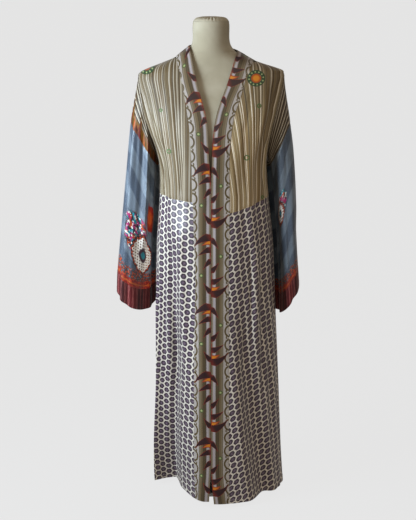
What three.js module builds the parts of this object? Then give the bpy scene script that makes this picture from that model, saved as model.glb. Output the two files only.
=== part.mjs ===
// A long patchwork kimono worn by a limbless dress form on a round stand.
// Millimetres, +Z up, the front faces -Y, and the origin is the middle of the stand's underside.
// The garment's panels all lie on one body surface, which is a stack of rounded sections with folds.
// Each sleeve is a tube that starts on the armhole's edge and hangs down beside the body.
import * as THREE from "three";

// Driving dimensions
const CLOTH = 2;
const BAND_CLOTH = 3;
const SEAM_GAP = 0.4;
const SLEEVE_SEAM_GAP = 1.1;
const BAND_GAP = 1;
const ARMHOLE_GAP = 3;
const WAIST_LEFT = 918;
const WAIST_FRONT_LEFT = 908;
const WAIST_RIGHT = 910;
const WAIST_FRONT_RIGHT = 876;
const UNDERARM = 1030;
const SHOULDER_TIP = 1260;
const ARMHOLE_FRONT = 50;
const ARMHOLE_BACK = 56;
const FORM_BOTTOM = 620;
const NECK_SEAM = 1320;
const NECK_TOP = 1404;
const CAP_TOP = 1418;
const CAP_GATHERS = 26;
const POLE_RADIUS = 14;
const BASE_RADIUS = 88;
const BASE_THICKNESS = 12;
const HUB_RADIUS = 22;
const HUB_TOP = 40;
const RADIANS = Math.PI / 180;

// The garment's sections: half widths to the left and right, depths to the front and back, squareness
const SECTIONS = [
  { z: 10, left: 172, right: 222, front: 170, back: 172, square: 2.1 },
  { z: 140, left: 173, right: 213, front: 166, back: 166, square: 2.15 },
  { z: 350, left: 164, right: 203, front: 158, back: 156, square: 2.2 },
  { z: 600, left: 162, right: 190, front: 147, back: 140, square: 2.3 },
  { z: 780, left: 158, right: 181, front: 138, back: 128, square: 2.4 },
  { z: 907, left: 149, right: 167, front: 131, back: 116, square: 2.4 },
  { z: 1000, left: 149, right: 160, front: 130, back: 110, square: 2.5 },
  { z: 1050, left: 160, right: 164, front: 129, back: 110, square: 2.6 },
  { z: 1100, left: 179, right: 174, front: 124, back: 112, square: 2.8 },
  { z: 1161, left: 198, right: 192, front: 112, back: 113, square: 2.8 },
  { z: 1215, left: 205, right: 204, front: 92, back: 105, square: 2.6 },
  { z: 1250, left: 206, right: 208, front: 77, back: 90, square: 2.4 },
  { z: 1259, left: 203, right: 206, front: 74, back: 86, square: 2.3 },
  { z: 1268, left: 190, right: 202, front: 71, back: 82, square: 2.3 },
  { z: 1290, left: 134, right: 135, front: 66, back: 73, square: 2.2 },
  { z: 1302, left: 105, right: 108, front: 63, back: 68, square: 2.2 },
  { z: 1312, left: 90, right: 91, front: 61, back: 65, square: 2.1 },
  { z: 1324, left: 74, right: 73, front: 59, back: 61, square: 2.05 },
  { z: 1340, left: 58, right: 58, front: 57, back: 58, square: 2 },
];

// The largest folds: angle round the body at the fold's top and at the hem, its height range,
// half width in degrees, depth inwards at the hem, and the share of its depth that goes sideways
const FOLDS = [
  { top: -52, hem: -60, start: 1230, full: 930, width: 9, depth: 7, side: 0.8 },
  { top: -30, hem: -34, start: 1190, full: 940, width: 7, depth: 5, side: 0.8 },
  { top: 22, hem: 47, start: 720, full: 20, width: 11, depth: 44, side: 0.2 },
  { top: 13, hem: 31, start: 640, full: 20, width: 6, depth: -10, side: 0.4 },
  { top: 50, hem: 68, start: 800, full: 20, width: 6, depth: 12, side: 0.3 },
  { top: 33, hem: 30, start: 1180, full: 940, width: 8, depth: 6, side: 0.8 },
  { top: 60, hem: 50, start: 1200, full: 960, width: 8, depth: 7, side: 0.8 },
  { top: 112, hem: 110, start: 1000, full: 20, width: 8, depth: 24, side: 1 },
  { top: 138, hem: 137, start: 1080, full: 20, width: 9, depth: 32, side: 1 },
  { top: 166, hem: 163, start: 1040, full: 20, width: 8, depth: 28, side: 1 },
  { top: -169, hem: -168, start: 1100, full: 20, width: 8, depth: 30, side: 1 },
  { top: -142, hem: -143, start: 1040, full: 20, width: 9, depth: 33, side: 1 },
  { top: -118, hem: -119, start: 980, full: 20, width: 8, depth: 24, side: 1 },
];

// The deep fold of the left front: how far the hem sits back at each angle round the body
const RECESS = [
  { angle: -180, push: 0 },
  { angle: -98, push: 0 },
  { angle: -90, push: 2 },
  { angle: -82, push: 16 },
  { angle: -75, push: 40 },
  { angle: -68, push: 65 },
  { angle: -60, push: 91 },
  { angle: -50, push: 123 },
  { angle: -42, push: 144 },
  { angle: -37, push: 148 },
  { angle: -34, push: 122 },
  { angle: -31, push: 88 },
  { angle: -28, push: 72 },
  { angle: -22, push: 48 },
  { angle: -16, push: 22 },
  { angle: -11, push: 8 },
  { angle: -5, push: 0 },
  { angle: 180, push: 0 },
];
const RECESS_START = 820;

// The hem's height by angle round the body
const HEM = [
  { angle: -180, z: 24 },
  { angle: -120, z: 26 },
  { angle: -90, z: 21 },
  { angle: -60, z: 19 },
  { angle: -37, z: 19 },
  { angle: -22, z: 22 },
  { angle: -8, z: 21 },
  { angle: 8, z: 15 },
  { angle: 26, z: 14 },
  { angle: 46, z: 17 },
  { angle: 66, z: 20 },
  { angle: 90, z: 24 },
  { angle: 120, z: 26 },
  { angle: 180, z: 24 },
];

// The front edges of the neckband and its seams, as distances from the middle of the front
const BAND_EDGES = [
  { z: 0, leftIn: 6, leftOut: 45, rightIn: 10, rightOut: 54 },
  { z: 60, leftIn: 3, leftOut: 47, rightIn: 4, rightOut: 54 },
  { z: 120, leftIn: 0, leftOut: 49, rightIn: 0, rightOut: 53 },
  { z: 300, leftIn: 0, leftOut: 49, rightIn: 0, rightOut: 52 },
  { z: 480, leftIn: 0, leftOut: 48, rightIn: 0, rightOut: 52 },
  { z: 680, leftIn: 0, leftOut: 45, rightIn: 0, rightOut: 50 },
  { z: 860, leftIn: 0, leftOut: 50, rightIn: 0, rightOut: 52 },
  { z: 960, leftIn: 0, leftOut: 53, rightIn: 0, rightOut: 52 },
  { z: 1030, leftIn: 5, leftOut: 55, rightIn: 2, rightOut: 51 },
  { z: 1083, leftIn: 7, leftOut: 58, rightIn: 4, rightOut: 55 },
  { z: 1121, leftIn: 9, leftOut: 61, rightIn: 8, rightOut: 59 },
  { z: 1155, leftIn: 15, leftOut: 66, rightIn: 15, rightOut: 66 },
  { z: 1191, leftIn: 25, leftOut: 72, rightIn: 27, rightOut: 79 },
  { z: 1229, leftIn: 36, leftOut: 80, rightIn: 42, rightOut: 91 },
  { z: 1267, leftIn: 45, leftOut: 88, rightIn: 55, rightOut: 103 },
  { z: 1296, leftIn: 51, leftOut: 95, rightIn: 64, rightOut: 119 },
  { z: 1312, leftIn: 54, leftOut: 100, rightIn: 70, rightOut: 130 },
  { z: 1338, leftIn: 61, leftOut: 108, rightIn: 80, rightOut: 142 },
];

// Where the neckband crosses each shoulder seam and the middle of the back
const BAND_TOP = {
  leftIn: 1336,
  leftOut: 1305,
  rightIn: 1322,
  rightOut: 1295,
  backIn: 1338,
  backOut: 1288,
};
const BAND_TURN = 1200;

// The sleeves' sections by share of their length: outer and inner points, depths, sag of the front,
// and how far the inner side hangs behind the outer one
const SLEEVE_LEFT = [
  { at: 0, ox: 203, oz: 1260, ix: 155, iz: 1034, front: 50, back: 56, drop: 0, skew: 0 },
  { at: 0.08, ox: 213, oz: 1212, ix: 157, iz: 1016, front: 58, back: 64, drop: 2, skew: 5 },
  { at: 0.215, ox: 229, oz: 1124, ix: 155, iz: 992, front: 70, back: 78, drop: 4, skew: 25 },
  { at: 0.45, ox: 245, oz: 975, ix: 155, iz: 872, front: 77, back: 85, drop: 8, skew: 45 },
  { at: 0.7, ox: 262, oz: 812, ix: 163, iz: 736, front: 80, back: 88, drop: 17, skew: 50 },
  { at: 0.9, ox: 275, oz: 688, ix: 168, iz: 640, front: 80, back: 88, drop: 26, skew: 50 },
  { at: 1, ox: 278, oz: 628, ix: 169, iz: 583, front: 78, back: 86, drop: 31, skew: 50 },
];
const SLEEVE_RIGHT = [
  { at: 0, ox: 206, oz: 1260, ix: 165, iz: 1034, front: 50, back: 56, drop: 0, skew: 0 },
  { at: 0.08, ox: 212, oz: 1212, ix: 166, iz: 1014, front: 58, back: 64, drop: 2, skew: 5 },
  { at: 0.215, ox: 227, oz: 1120, ix: 165, iz: 988, front: 70, back: 80, drop: 6, skew: 25 },
  { at: 0.45, ox: 241, oz: 966, ix: 175, iz: 856, front: 80, back: 88, drop: 11, skew: 45 },
  { at: 0.7, ox: 249, oz: 806, ix: 186, iz: 708, front: 84, back: 90, drop: 16, skew: 50 },
  { at: 0.9, ox: 256, oz: 704, ix: 191, iz: 614, front: 86, back: 90, drop: 22, skew: 50 },
  { at: 1, ox: 260, oz: 652, ix: 193, iz: 559, front: 85, back: 88, drop: 26, skew: 50 },
];
const SLEEVE_SEAM = 0.215;
const CUFF_SEAM = 0.9;
const SLEEVE_SQUARE = 2.3;

// The sleeves' long folds: angle round the sleeve, half width in degrees, depth, share where it starts
const SLEEVE_FOLDS = [
  { angle: 62, width: 15, depth: 8, start: 0.1 },
  { angle: 118, width: 17, depth: 9, start: 0.02 },
  { angle: 212, width: 17, depth: 8, start: 0.15 },
  { angle: 262, width: 16, depth: 10, start: 0.05 },
  { angle: 318, width: 15, depth: 7, start: 0.2 },
];

// The dress form's sections
const FORM_SECTIONS = [
  { z: FORM_BOTTOM, half: 138, front: 90, back: 98, square: 2.2 },
  { z: 634, half: 146, front: 98, back: 108, square: 2.2 },
  { z: 690, half: 151, front: 104, back: 116, square: 2.2 },
  { z: 760, half: 147, front: 104, back: 112, square: 2.2 },
  { z: 840, half: 130, front: 95, back: 92, square: 2.2 },
  { z: 915, half: 115, front: 86, back: 76, square: 2.2 },
  { z: 990, half: 124, front: 98, back: 86, square: 2.2 },
  { z: 1050, half: 136, front: 116, back: 94, square: 2.3 },
  { z: 1080, half: 142, front: 118, back: 97, square: 2.3 },
  { z: 1120, half: 150, front: 112, back: 101, square: 2.4 },
  { z: 1170, half: 165, front: 97, back: 100, square: 2.4 },
  { z: 1215, half: 180, front: 79, back: 88, square: 2.3 },
  { z: 1243, half: 187, front: 66, back: 74, square: 2.2 },
  { z: 1256, half: 187, front: 62, back: 69, square: 2.2 },
  { z: 1264.5, half: 179, front: 60, back: 66, square: 2.2 },
  { z: 1287.5, half: 132, front: 57, back: 61, square: 2.1 },
  { z: 1299, half: 104, front: 56, back: 59, square: 2.1 },
  { z: 1309, half: 88, front: 55, back: 58, square: 2 },
  { z: NECK_SEAM, half: 70, front: 54, back: 56, square: 2 },
];
const NECK_SECTIONS = [
  { z: NECK_SEAM + SEAM_GAP, half: 69.5, front: 54, back: 56, square: 2 },
  { z: 1328, half: 62, front: 53.5, back: 55, square: 2 },
  { z: 1340, half: 55, front: 53, back: 54, square: 2 },
  { z: 1356, half: 52, front: 52, back: 52, square: 2 },
  { z: 1392, half: 52, front: 52, back: 52, square: 2 },
  { z: NECK_TOP, half: 50, front: 50, back: 50, square: 2 },
];
const CAP_SECTIONS = [
  { z: NECK_TOP + SEAM_GAP, radius: 49.5, gather: 0 },
  { z: 1408, radius: 47.5, gather: 0.3 },
  { z: 1412, radius: 43, gather: 0.9 },
  { z: 1415, radius: 36, gather: 1 },
  { z: 1416.5, radius: 22, gather: 0.7 },
  { z: 1417.5, radius: 9, gather: 0.2 },
];

// Mesh density
const SKIRT_ROWS = 12;
const BODICE_ROWS = 12;
const BACK_COLUMNS = 28;
const BODICE_COLUMNS = 10;
const BODICE_BACK_COLUMNS = 20;
const BAND_COLUMNS = 2;
const SLEEVE_POINTS = 24;
const FORM_POINTS = 28;
const LEFT_STEPS = [
  0, 0.04, 0.08, 0.115, 0.15, 0.18, 0.205, 0.23, 0.255, 0.285, 0.345, 0.43, 0.53, 0.64, 0.76, 0.88, 1,
];
const RIGHT_STEPS = [
  0, 0.07, 0.13, 0.19, 0.25, 0.3, 0.35, 0.4, 0.45, 0.5, 0.56, 0.62, 0.69, 0.76, 0.83, 0.91, 1,
];

const clamp = (x) => Math.min(1, Math.max(0, x));
const lerp = (a, b, t) => a + (b - a) * t;
const smooth = (t) => clamp(t) * clamp(t) * (3 - 2 * clamp(t));

// The shortest signed difference of two angles in degrees.
const turn = (a, b) => ((((a - b + 180) % 360) + 360) % 360) - 180;

// A smooth curve through one column of a table, as a function of the table's first column.
function curve(rows, key, column) {
  const slope = (i) => {
    const a = rows[Math.max(0, i - 1)];
    const b = rows[Math.min(rows.length - 1, i + 1)];
    return (b[column] - a[column]) / (b[key] - a[key]);
  };
  return (x) => {
    const at = Math.min(Math.max(x, rows[0][key]), rows[rows.length - 1][key]);
    let i = 0;
    while (i < rows.length - 2 && at > rows[i + 1][key]) {
      i += 1;
    }
    const a = rows[i];
    const b = rows[i + 1];
    const span = b[key] - a[key];
    const t = (at - a[key]) / span;
    const rise = b[column] - a[column];
    const start = slope(i) * span;
    const end = slope(i + 1) * span;
    const bend = t * (1 - t);
    return a[column] + rise * smooth(t) + bend * ((1 - t) * start - t * end);
  };
}

function curves(rows, key, columns) {
  return Object.fromEntries(columns.map((name) => [name, curve(rows, key, name)]));
}

const section = curves(SECTIONS, "z", ["left", "right", "front", "back", "square"]);
const hemHeight = curve(HEM, "angle", "z");
const recess = curve(RECESS, "angle", "push");
const bandEdge = curves(BAND_EDGES, "z", ["leftIn", "leftOut", "rightIn", "rightOut"]);

// How far the folds push the body surface inwards, sideways and backwards.
function foldPush(angle, z) {
  let across = 0;
  let along = 0;
  for (const fold of FOLDS) {
    const down = clamp((fold.start - z) / (fold.start - fold.full));
    const away = turn(angle, lerp(fold.top, fold.hem, down)) / fold.width;
    const push = fold.depth * smooth(down) * Math.exp(-away * away);
    across += push * fold.side;
    along += push;
  }
  const deep = clamp((RECESS_START - z) / (RECESS_START - 20)) ** 1.15;
  return { across, along, back: deep * recess(turn(angle, 0)) };
}

// A point of the garment's body surface. The angle is 0 at the front and 90 at the +X side.
function bodyPoint(angle, z) {
  const sine = Math.sin(angle * RADIANS);
  const cosine = Math.cos(angle * RADIANS);
  const power = 2 / section.square(z);
  const half = sine < 0 ? section.left(z) : section.right(z);
  const depth = cosine > 0 ? section.front(z) : section.back(z);
  const push = foldPush(angle, z);
  const x = Math.sign(sine) * half * Math.abs(sine) ** power - push.across * sine;
  const y = -Math.sign(cosine) * depth * Math.abs(cosine) ** power + push.along * cosine + push.back;
  return new THREE.Vector3(x, y, z);
}

// The angle at which a section passes a given distance x from the middle, at the front.
function angleAtX(x, z) {
  const half = x < 0 ? section.left(z) : section.right(z);
  const share = clamp(Math.abs(x) / half);
  return (Math.sign(x) * Math.asin(share ** (section.square(z) / 2))) / RADIANS;
}

// The angle, 0 to 90, at which a section comes within a given depth of its widest line.
function angleAtDepth(depth, full, z) {
  return Math.acos(clamp(depth / full) ** (section.square(z) / 2)) / RADIANS;
}

// Half the opening between the front and back panels: an armhole above the underarm, else a seam.
function openDepth(z, depth) {
  const share = (z - UNDERARM) / (SHOULDER_TIP - UNDERARM);
  const arch = share > 0 && share < 1 ? Math.sin(Math.PI * share) ** 0.7 : 0;
  return Math.max(SEAM_GAP / 2, depth * arch);
}

const frontSide = (z) => angleAtDepth(openDepth(z, ARMHOLE_FRONT), section.front(z), z);
const backSide = (z) => 180 - angleAtDepth(openDepth(z, ARMHOLE_BACK), section.back(z), z);

// A closed wall of the given thickness round a grid of points. Rows and columns are counted in cells.
function wall(rows, columns, pointAt, thickness, round = false) {
  const across = round ? columns : columns + 1;
  const grid = [];
  for (let i = 0; i <= rows; i += 1) {
    for (let j = 0; j < across; j += 1) {
      grid.push(pointAt(i / rows, j / columns));
    }
  }
  const at = (i, j) => i * across + (round ? (j + columns) % columns : j);
  const positions = [];
  const nearRow = (i) => Math.min(rows, Math.max(0, i));
  const nearColumn = (j) => (round ? j : Math.min(columns, Math.max(0, j)));
  const beyond = (i, j) => {
    return round ? pointAt(i / rows, j / columns) : grid[at(nearRow(i), j)].clone();
  };
  const normals = grid.map((_, n) => {
    const i = Math.floor(n / across);
    const j = n % across;
    const down = beyond(i + 1, j).sub(beyond(i - 1, j));
    const over = grid[at(i, nearColumn(j + 1))].clone().sub(grid[at(i, nearColumn(j - 1))]);
    return over.cross(down).normalize();
  });
  for (const side of [0.5, -0.5]) {
    grid.forEach((p, n) => {
      const q = p.clone().addScaledVector(normals[n], thickness * side);
      positions.push(q.x, q.y, q.z);
    });
  }
  const faces = [];
  const inner = grid.length;
  const quad = (a, b, c, d) => faces.push(a, b, c, a, c, d);
  for (let i = 0; i < rows; i += 1) {
    for (let j = 0; j < columns; j += 1) {
      const corners = [at(i, j), at(i, j + 1), at(i + 1, j + 1), at(i + 1, j)];
      quad(...corners);
      quad(...corners.reverse().map((n) => n + inner));
    }
  }
  const rim = (a, b) => quad(b, a, a + inner, b + inner);
  for (let j = 0; j < columns; j += 1) {
    rim(at(0, j), at(0, j + 1));
    rim(at(rows, j + 1), at(rows, j));
  }
  for (let i = 0; i < rows && !round; i += 1) {
    rim(at(i + 1, 0), at(i, 0));
    rim(at(i, columns), at(i + 1, columns));
  }
  return facingOut(positions, faces);
}

// A geometry whose triangles face outwards, whichever way they were listed.
function facingOut(positions, faces) {
  const point = (n) => new THREE.Vector3().fromArray(positions, n * 3);
  let volume = 0;
  for (let i = 0; i < faces.length; i += 3) {
    const [a, b, c] = faces.slice(i, i + 3).map(point);
    volume += a.dot(b.cross(c));
  }
  if (volume < 0) {
    faces.reverse();
  }
  const geometry = new THREE.BufferGeometry();
  geometry.setAttribute("position", new THREE.Float32BufferAttribute(positions, 3));
  geometry.setIndex(faces);
  geometry.computeVertexNormals();
  return geometry;
}

// A closed solid through rings of equal length, with a fan over each end.
function solidOfRings(rings) {
  const count = rings[0].length;
  const positions = [];
  const faces = [];
  rings.flat().forEach((p) => positions.push(p.x, p.y, p.z));
  for (let i = 0; i < rings.length - 1; i += 1) {
    for (let j = 0; j < count; j += 1) {
      const a = i * count + j;
      const b = i * count + ((j + 1) % count);
      faces.push(a, b, b + count, a, b + count, a + count);
    }
  }
  const lid = (ring, first, up) => {
    const middle = ring.reduce((sum, p) => sum.add(p), new THREE.Vector3());
    middle.divideScalar(count);
    const hub = positions.length / 3;
    positions.push(middle.x, middle.y, middle.z);
    for (let j = 0; j < count; j += 1) {
      const a = first + j;
      const b = first + ((j + 1) % count);
      faces.push(...(up ? [a, b, hub] : [b, a, hub]));
    }
  };
  lid(rings[0], 0, false);
  lid(rings[rings.length - 1], (rings.length - 1) * count, true);
  return facingOut(positions, faces);
}

// A ring of the dress form from a row of its table.
function formRing(row) {
  const power = 2 / row.square;
  return Array.from({ length: FORM_POINTS }, (_, n) => {
    const angle = (2 * Math.PI * n) / FORM_POINTS;
    const sine = Math.sin(angle);
    const cosine = Math.cos(angle);
    const depth = cosine > 0 ? row.front : row.back;
    return new THREE.Vector3(
      Math.sign(sine) * row.half * Math.abs(sine) ** power,
      -Math.sign(cosine) * depth * Math.abs(cosine) ** power,
      row.z,
    );
  });
}

// A ring of the gathered disc on top of the neck: each gather is a small ridge.
function capRing(row) {
  const count = CAP_GATHERS * 2;
  return Array.from({ length: count }, (_, n) => {
    const angle = (2 * Math.PI * n) / count;
    const lift = row.gather * Math.cos(CAP_GATHERS * angle);
    return new THREE.Vector3(
      row.radius * Math.sin(angle),
      -row.radius * Math.cos(angle),
      row.z + lift,
    );
  });
}

// The height of the seam between bodice and skirt at an angle round the body.
function waistHeight(angle) {
  const left = angle < 0;
  const side = left ? WAIST_LEFT : WAIST_RIGHT;
  const front = left ? WAIST_FRONT_LEFT : WAIST_FRONT_RIGHT;
  return lerp(front, side, smooth(Math.abs(angle) / 75));
}

// The neckband's edge at one side, as an angle. Above the shoulder seam it stays on that seam.
function edgeAngle(side, edge, z, shift) {
  const name = (side < 0 ? "left" : "right") + edge;
  const limit = frontSide(Math.min(z, SECTIONS[SECTIONS.length - 1].z));
  const angle = Math.abs(angleAtX(side * (bandEdge[name](z) + shift), z));
  return side * Math.min(angle, limit);
}

// The heights of a panel's rows at an angle round the body, from its lower edge to its upper one.
function skirtHeight(angle, v) {
  return lerp(hemHeight(angle), waistHeight(angle) - SEAM_GAP / 2, v);
}

// Steps close up towards the top, where the sections change fastest.
function bodiceHeight(angle, top, v) {
  return lerp(waistHeight(angle) + SEAM_GAP / 2, top, 1 - (1 - v) ** 1.45);
}

const bandAngle = (side) => edgeAngle(side, "Out", 500, 0);
const bodiceTop = (side) => (side < 0 ? BAND_TOP.leftOut : BAND_TOP.rightOut) - 3;

function skirtFront(side) {
  const steps = side < 0 ? LEFT_STEPS : RIGHT_STEPS;
  const columns = steps.length - 1;
  return wall(SKIRT_ROWS, columns, (v, u) => {
    const share = steps[Math.round(u * columns)];
    const z = skirtHeight(lerp(bandAngle(side), side * 90, share), v);
    const start = edgeAngle(side, "Out", z, SEAM_GAP / 2);
    return bodyPoint(lerp(start, side * frontSide(z), share), z);
  }, CLOTH);
}

function skirtBack() {
  return wall(SKIRT_ROWS, BACK_COLUMNS, (v, u) => {
    const z = skirtHeight(turn(lerp(90, 270, u), 0), v);
    return bodyPoint(lerp(backSide(z), 360 - backSide(z), u), z);
  }, CLOTH);
}

function bodiceFront(side) {
  return wall(BODICE_ROWS, BODICE_COLUMNS, (v, u) => {
    const z = bodiceHeight(lerp(bandAngle(side), side * 90, u), bodiceTop(side), v);
    const start = edgeAngle(side, "Out", z, SEAM_GAP / 2);
    return bodyPoint(lerp(start, side * frontSide(z), u), z);
  }, CLOTH);
}

// The height of the neckband's edge behind the neck, by angle from 90 to 270.
function backNeck(edge, angle) {
  const middle = BAND_TOP["back" + edge];
  const end = angle < 180 ? BAND_TOP["right" + edge] : BAND_TOP["left" + edge];
  return lerp(middle, end, smooth(Math.abs(angle - 180) / 90));
}

function bodiceBack() {
  return wall(BODICE_ROWS, BODICE_BACK_COLUMNS, (v, u) => {
    const guess = lerp(90, 270, u);
    const top = backNeck("Out", guess) - SEAM_GAP - 0.4;
    const z = bodiceHeight(turn(guess, 0), top, v);
    return bodyPoint(lerp(backSide(z), 360 - backSide(z), u), z);
  }, CLOTH);
}

// The neckband of one front has the same rows as the panels it is sewn to, so that their edges agree.
function bandFront(side) {
  const left = side < 0;
  const inEnd = left ? BAND_TOP.leftIn : BAND_TOP.rightIn;
  const outEnd = left ? BAND_TOP.leftOut : BAND_TOP.rightOut;
  const heights = [];
  for (let i = 0; i <= SKIRT_ROWS; i += 1) {
    heights.push(skirtHeight(bandAngle(side), i / SKIRT_ROWS));
  }
  for (let i = 1; i <= BODICE_ROWS; i += 1) {
    heights.push(bodiceHeight(bandAngle(side), bodiceTop(side), i / BODICE_ROWS));
  }
  heights.push(outEnd);
  const rows = heights.length - 1;
  return wall(rows, BAND_COLUMNS, (v, u) => {
    const outZ = heights[Math.round(v * rows)];
    const turned = clamp((outZ - BAND_TURN) / (outEnd - BAND_TURN));
    const inZ = turned > 0 ? lerp(BAND_TURN, inEnd, turned) : outZ;
    const inner = edgeAngle(side, "In", inZ, BAND_GAP / 2);
    const outer = v < 1 ? edgeAngle(side, "Out", outZ, -SEAM_GAP / 2) : side * frontSide(outZ);
    return bodyPoint(lerp(inner, outer, u), lerp(inZ, outZ, u));
  }, BAND_CLOTH);
}

function bandBack() {
  const columns = BODICE_BACK_COLUMNS;
  return wall(BAND_COLUMNS, columns, (v, u) => {
    const guess = lerp(90, 270, u);
    const z = lerp(backNeck("Out", guess), backNeck("In", guess), v);
    return bodyPoint(lerp(backSide(z), 360 - backSide(z), u), z);
  }, BAND_CLOTH);
}

// The point of the armhole's edge at an angle round the sleeve: 0 is the shoulder tip, 180 the underarm.
function armholePoint(side, round) {
  const share = (1 + Math.cos(round * RADIANS)) / 2;
  const z = lerp(UNDERARM, SHOULDER_TIP, share);
  const angle = round < 180 ? frontSide(z) : backSide(z);
  return bodyPoint(side * angle, z);
}

// A sleeve's surface by share of its length and angle round it: 0 outside, 90 front, 180 inside.
function sleeveSurface(side) {
  const rows = side < 0 ? SLEEVE_LEFT : SLEEVE_RIGHT;
  const f = curves(rows, "at", ["ox", "oz", "ix", "iz", "front", "back", "drop", "skew"]);
  const power = 2 / SLEEVE_SQUARE;
  return (share, round) => {
    const cosine = Math.cos(round * RADIANS);
    const sine = Math.sin(round * RADIANS);
    const out = Math.sign(cosine) * Math.abs(cosine) ** power;
    const forward = Math.sign(sine) * Math.abs(sine) ** power;
    const depth = forward > 0 ? f.front(share) : f.back(share);
    let push = 0;
    for (const fold of SLEEVE_FOLDS) {
      const away = turn(round, fold.angle) / fold.width;
      push += fold.depth * smooth((share - fold.start) * 4) * Math.exp(-away * away);
    }
    const x = lerp(f.ix(share), f.ox(share), (1 + out) / 2) - push * cosine;
    const y = -depth * forward + push * sine + (f.skew(share) * (1 - out)) / 2;
    const z = lerp(f.iz(share), f.oz(share), (1 + out) / 2) - f.drop(share) * Math.max(0, forward);
    const hung = new THREE.Vector3(side * x, y, z);
    const free = smooth(share / 0.14);
    return armholePoint(side, round).lerp(hung, free);
  };
}

// A stretch of a sleeve between two shares of its length, drawn back a little from each seam.
// The first stretch starts just outside the armhole's edge.
function sleevePiece(side, from, to, rows) {
  const surface = sleeveSurface(side);
  const outwards = new THREE.Vector3(side * ARMHOLE_GAP, 0, 0);
  return wall(rows, SLEEVE_POINTS, (v, u) => {
    const share = lerp(from, to, v);
    const round = (u * 360) % 360;
    const point = surface(share, round);
    const along = surface(share + 0.01, round).sub(surface(share - 0.01, round)).normalize();
    const atStart = v === 0 && from > 0 ? 1 : 0;
    const atEnd = v === 1 && to < 1 ? 1 : 0;
    point.addScaledVector(along, (SLEEVE_SEAM_GAP / 2) * (atStart - atEnd));
    return point.addScaledVector(outwards, from === 0 ? 1 - smooth(share / 0.1) : 0);
  }, CLOTH, true);
}

const STRIPED = { color: 0xa89c7e, roughness: 0.6, metalness: 0 };
const DOTTED = { color: 0x9b9294, roughness: 0.55, metalness: 0 };
const BANDED = { color: 0xb8ad98, roughness: 0.55, metalness: 0 };
const GREY = { color: 0x66707c, roughness: 0.6, metalness: 0 };
const WINE = { color: 0x6a2429, roughness: 0.65, metalness: 0 };
const LINEN = { color: 0xc4bda9, roughness: 0.85, metalness: 0 };
const PAINTED = { color: 0xdedcd6, roughness: 0.45, metalness: 0.1 };

const kimono = new THREE.Group();
const form = new THREE.Group();
const whole = new THREE.Group();
whole.add(kimono, form);

function add(group, name, geometry, finish) {
  const mesh = new THREE.Mesh(geometry, new THREE.MeshStandardMaterial(finish));
  mesh.name = name;
  group.add(mesh);
  return mesh;
}

for (const side of [-1, 1]) {
  const end = side < 0 ? "_left" : "_right";
  add(kimono, "skirt_front" + end, skirtFront(side), DOTTED);
  add(kimono, "bodice_front" + end, bodiceFront(side), STRIPED);
  add(kimono, "band_front" + end, bandFront(side), BANDED);
  add(kimono, "sleeve_top" + end, sleevePiece(side, 0, SLEEVE_SEAM, 4), STRIPED);
  add(kimono, "sleeve" + end, sleevePiece(side, SLEEVE_SEAM, CUFF_SEAM, 7), GREY);
  add(kimono, "cuff" + end, sleevePiece(side, CUFF_SEAM, 1, 2), WINE);
}
add(kimono, "skirt_back", skirtBack(), DOTTED);
add(kimono, "bodice_back", bodiceBack(), STRIPED);
add(kimono, "band_back", bandBack(), BANDED);

add(form, "form_torso", solidOfRings(FORM_SECTIONS.map(formRing)), LINEN);
add(form, "form_neck", solidOfRings(NECK_SECTIONS.map(formRing)), LINEN);
add(form, "form_cap", solidOfRings(CAP_SECTIONS.map(capRing)), LINEN);

const poleLength = FORM_BOTTOM - HUB_TOP - 2 * SEAM_GAP;
const pole = new THREE.CylinderGeometry(POLE_RADIUS, POLE_RADIUS, poleLength, 24);
const standing = add(form, "stand_pole", pole, PAINTED);
standing.rotation.x = Math.PI / 2;
standing.position.z = HUB_TOP + SEAM_GAP + poleLength / 2;

const baseProfile = [
  [0, 0],
  [BASE_RADIUS, 0],
  [BASE_RADIUS, BASE_THICKNESS - 2],
  [BASE_RADIUS - 2, BASE_THICKNESS],
  [HUB_RADIUS + 4, BASE_THICKNESS + 2],
  [HUB_RADIUS, BASE_THICKNESS + 8],
  [HUB_RADIUS - 2, HUB_TOP],
  [0, HUB_TOP],
].map(([radius, height]) => new THREE.Vector2(radius, height));
const plate = add(form, "stand_base", new THREE.LatheGeometry(baseProfile, 40), PAINTED);
plate.rotation.x = Math.PI / 2;

export default whole;
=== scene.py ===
"""A long patchwork kimono on its limbless dress form, dressed and lit.

Sizes in the tables are millimetres and angles are degrees; meshes are made in metres.
The origin is the middle of the stand's underside, +Z is up and the front faces -Y.
"""
import sys
import logging
import math
from dataclasses import dataclass, field
from enum import Enum
from typing import Callable, Sequence, Union

import bpy
import numpy as np
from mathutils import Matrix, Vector


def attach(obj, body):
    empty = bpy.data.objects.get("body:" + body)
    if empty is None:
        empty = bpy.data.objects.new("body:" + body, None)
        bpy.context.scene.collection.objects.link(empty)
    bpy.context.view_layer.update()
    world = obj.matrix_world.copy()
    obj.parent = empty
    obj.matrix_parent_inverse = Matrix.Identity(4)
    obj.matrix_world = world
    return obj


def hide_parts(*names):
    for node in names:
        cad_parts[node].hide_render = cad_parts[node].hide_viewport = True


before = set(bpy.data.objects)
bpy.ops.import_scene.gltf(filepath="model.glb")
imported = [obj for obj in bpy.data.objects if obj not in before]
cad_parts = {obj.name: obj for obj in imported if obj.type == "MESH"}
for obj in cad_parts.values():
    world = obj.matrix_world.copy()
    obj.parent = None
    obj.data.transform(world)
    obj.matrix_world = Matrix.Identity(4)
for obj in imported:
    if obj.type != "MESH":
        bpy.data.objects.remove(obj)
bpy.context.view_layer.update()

LOG = logging.getLogger("kimono")
MM = 0.001
# The share of full light that a white print reflects
REFLECTED = 0.6
# How far cloth sinks at a seam, and over what distance, in millimetres
SEAM_DIP, SEAM_REACH = 0.7, 3
# How strongly the bodice's rows close up towards the top
ROWS_CLOSE = 1.45
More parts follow.
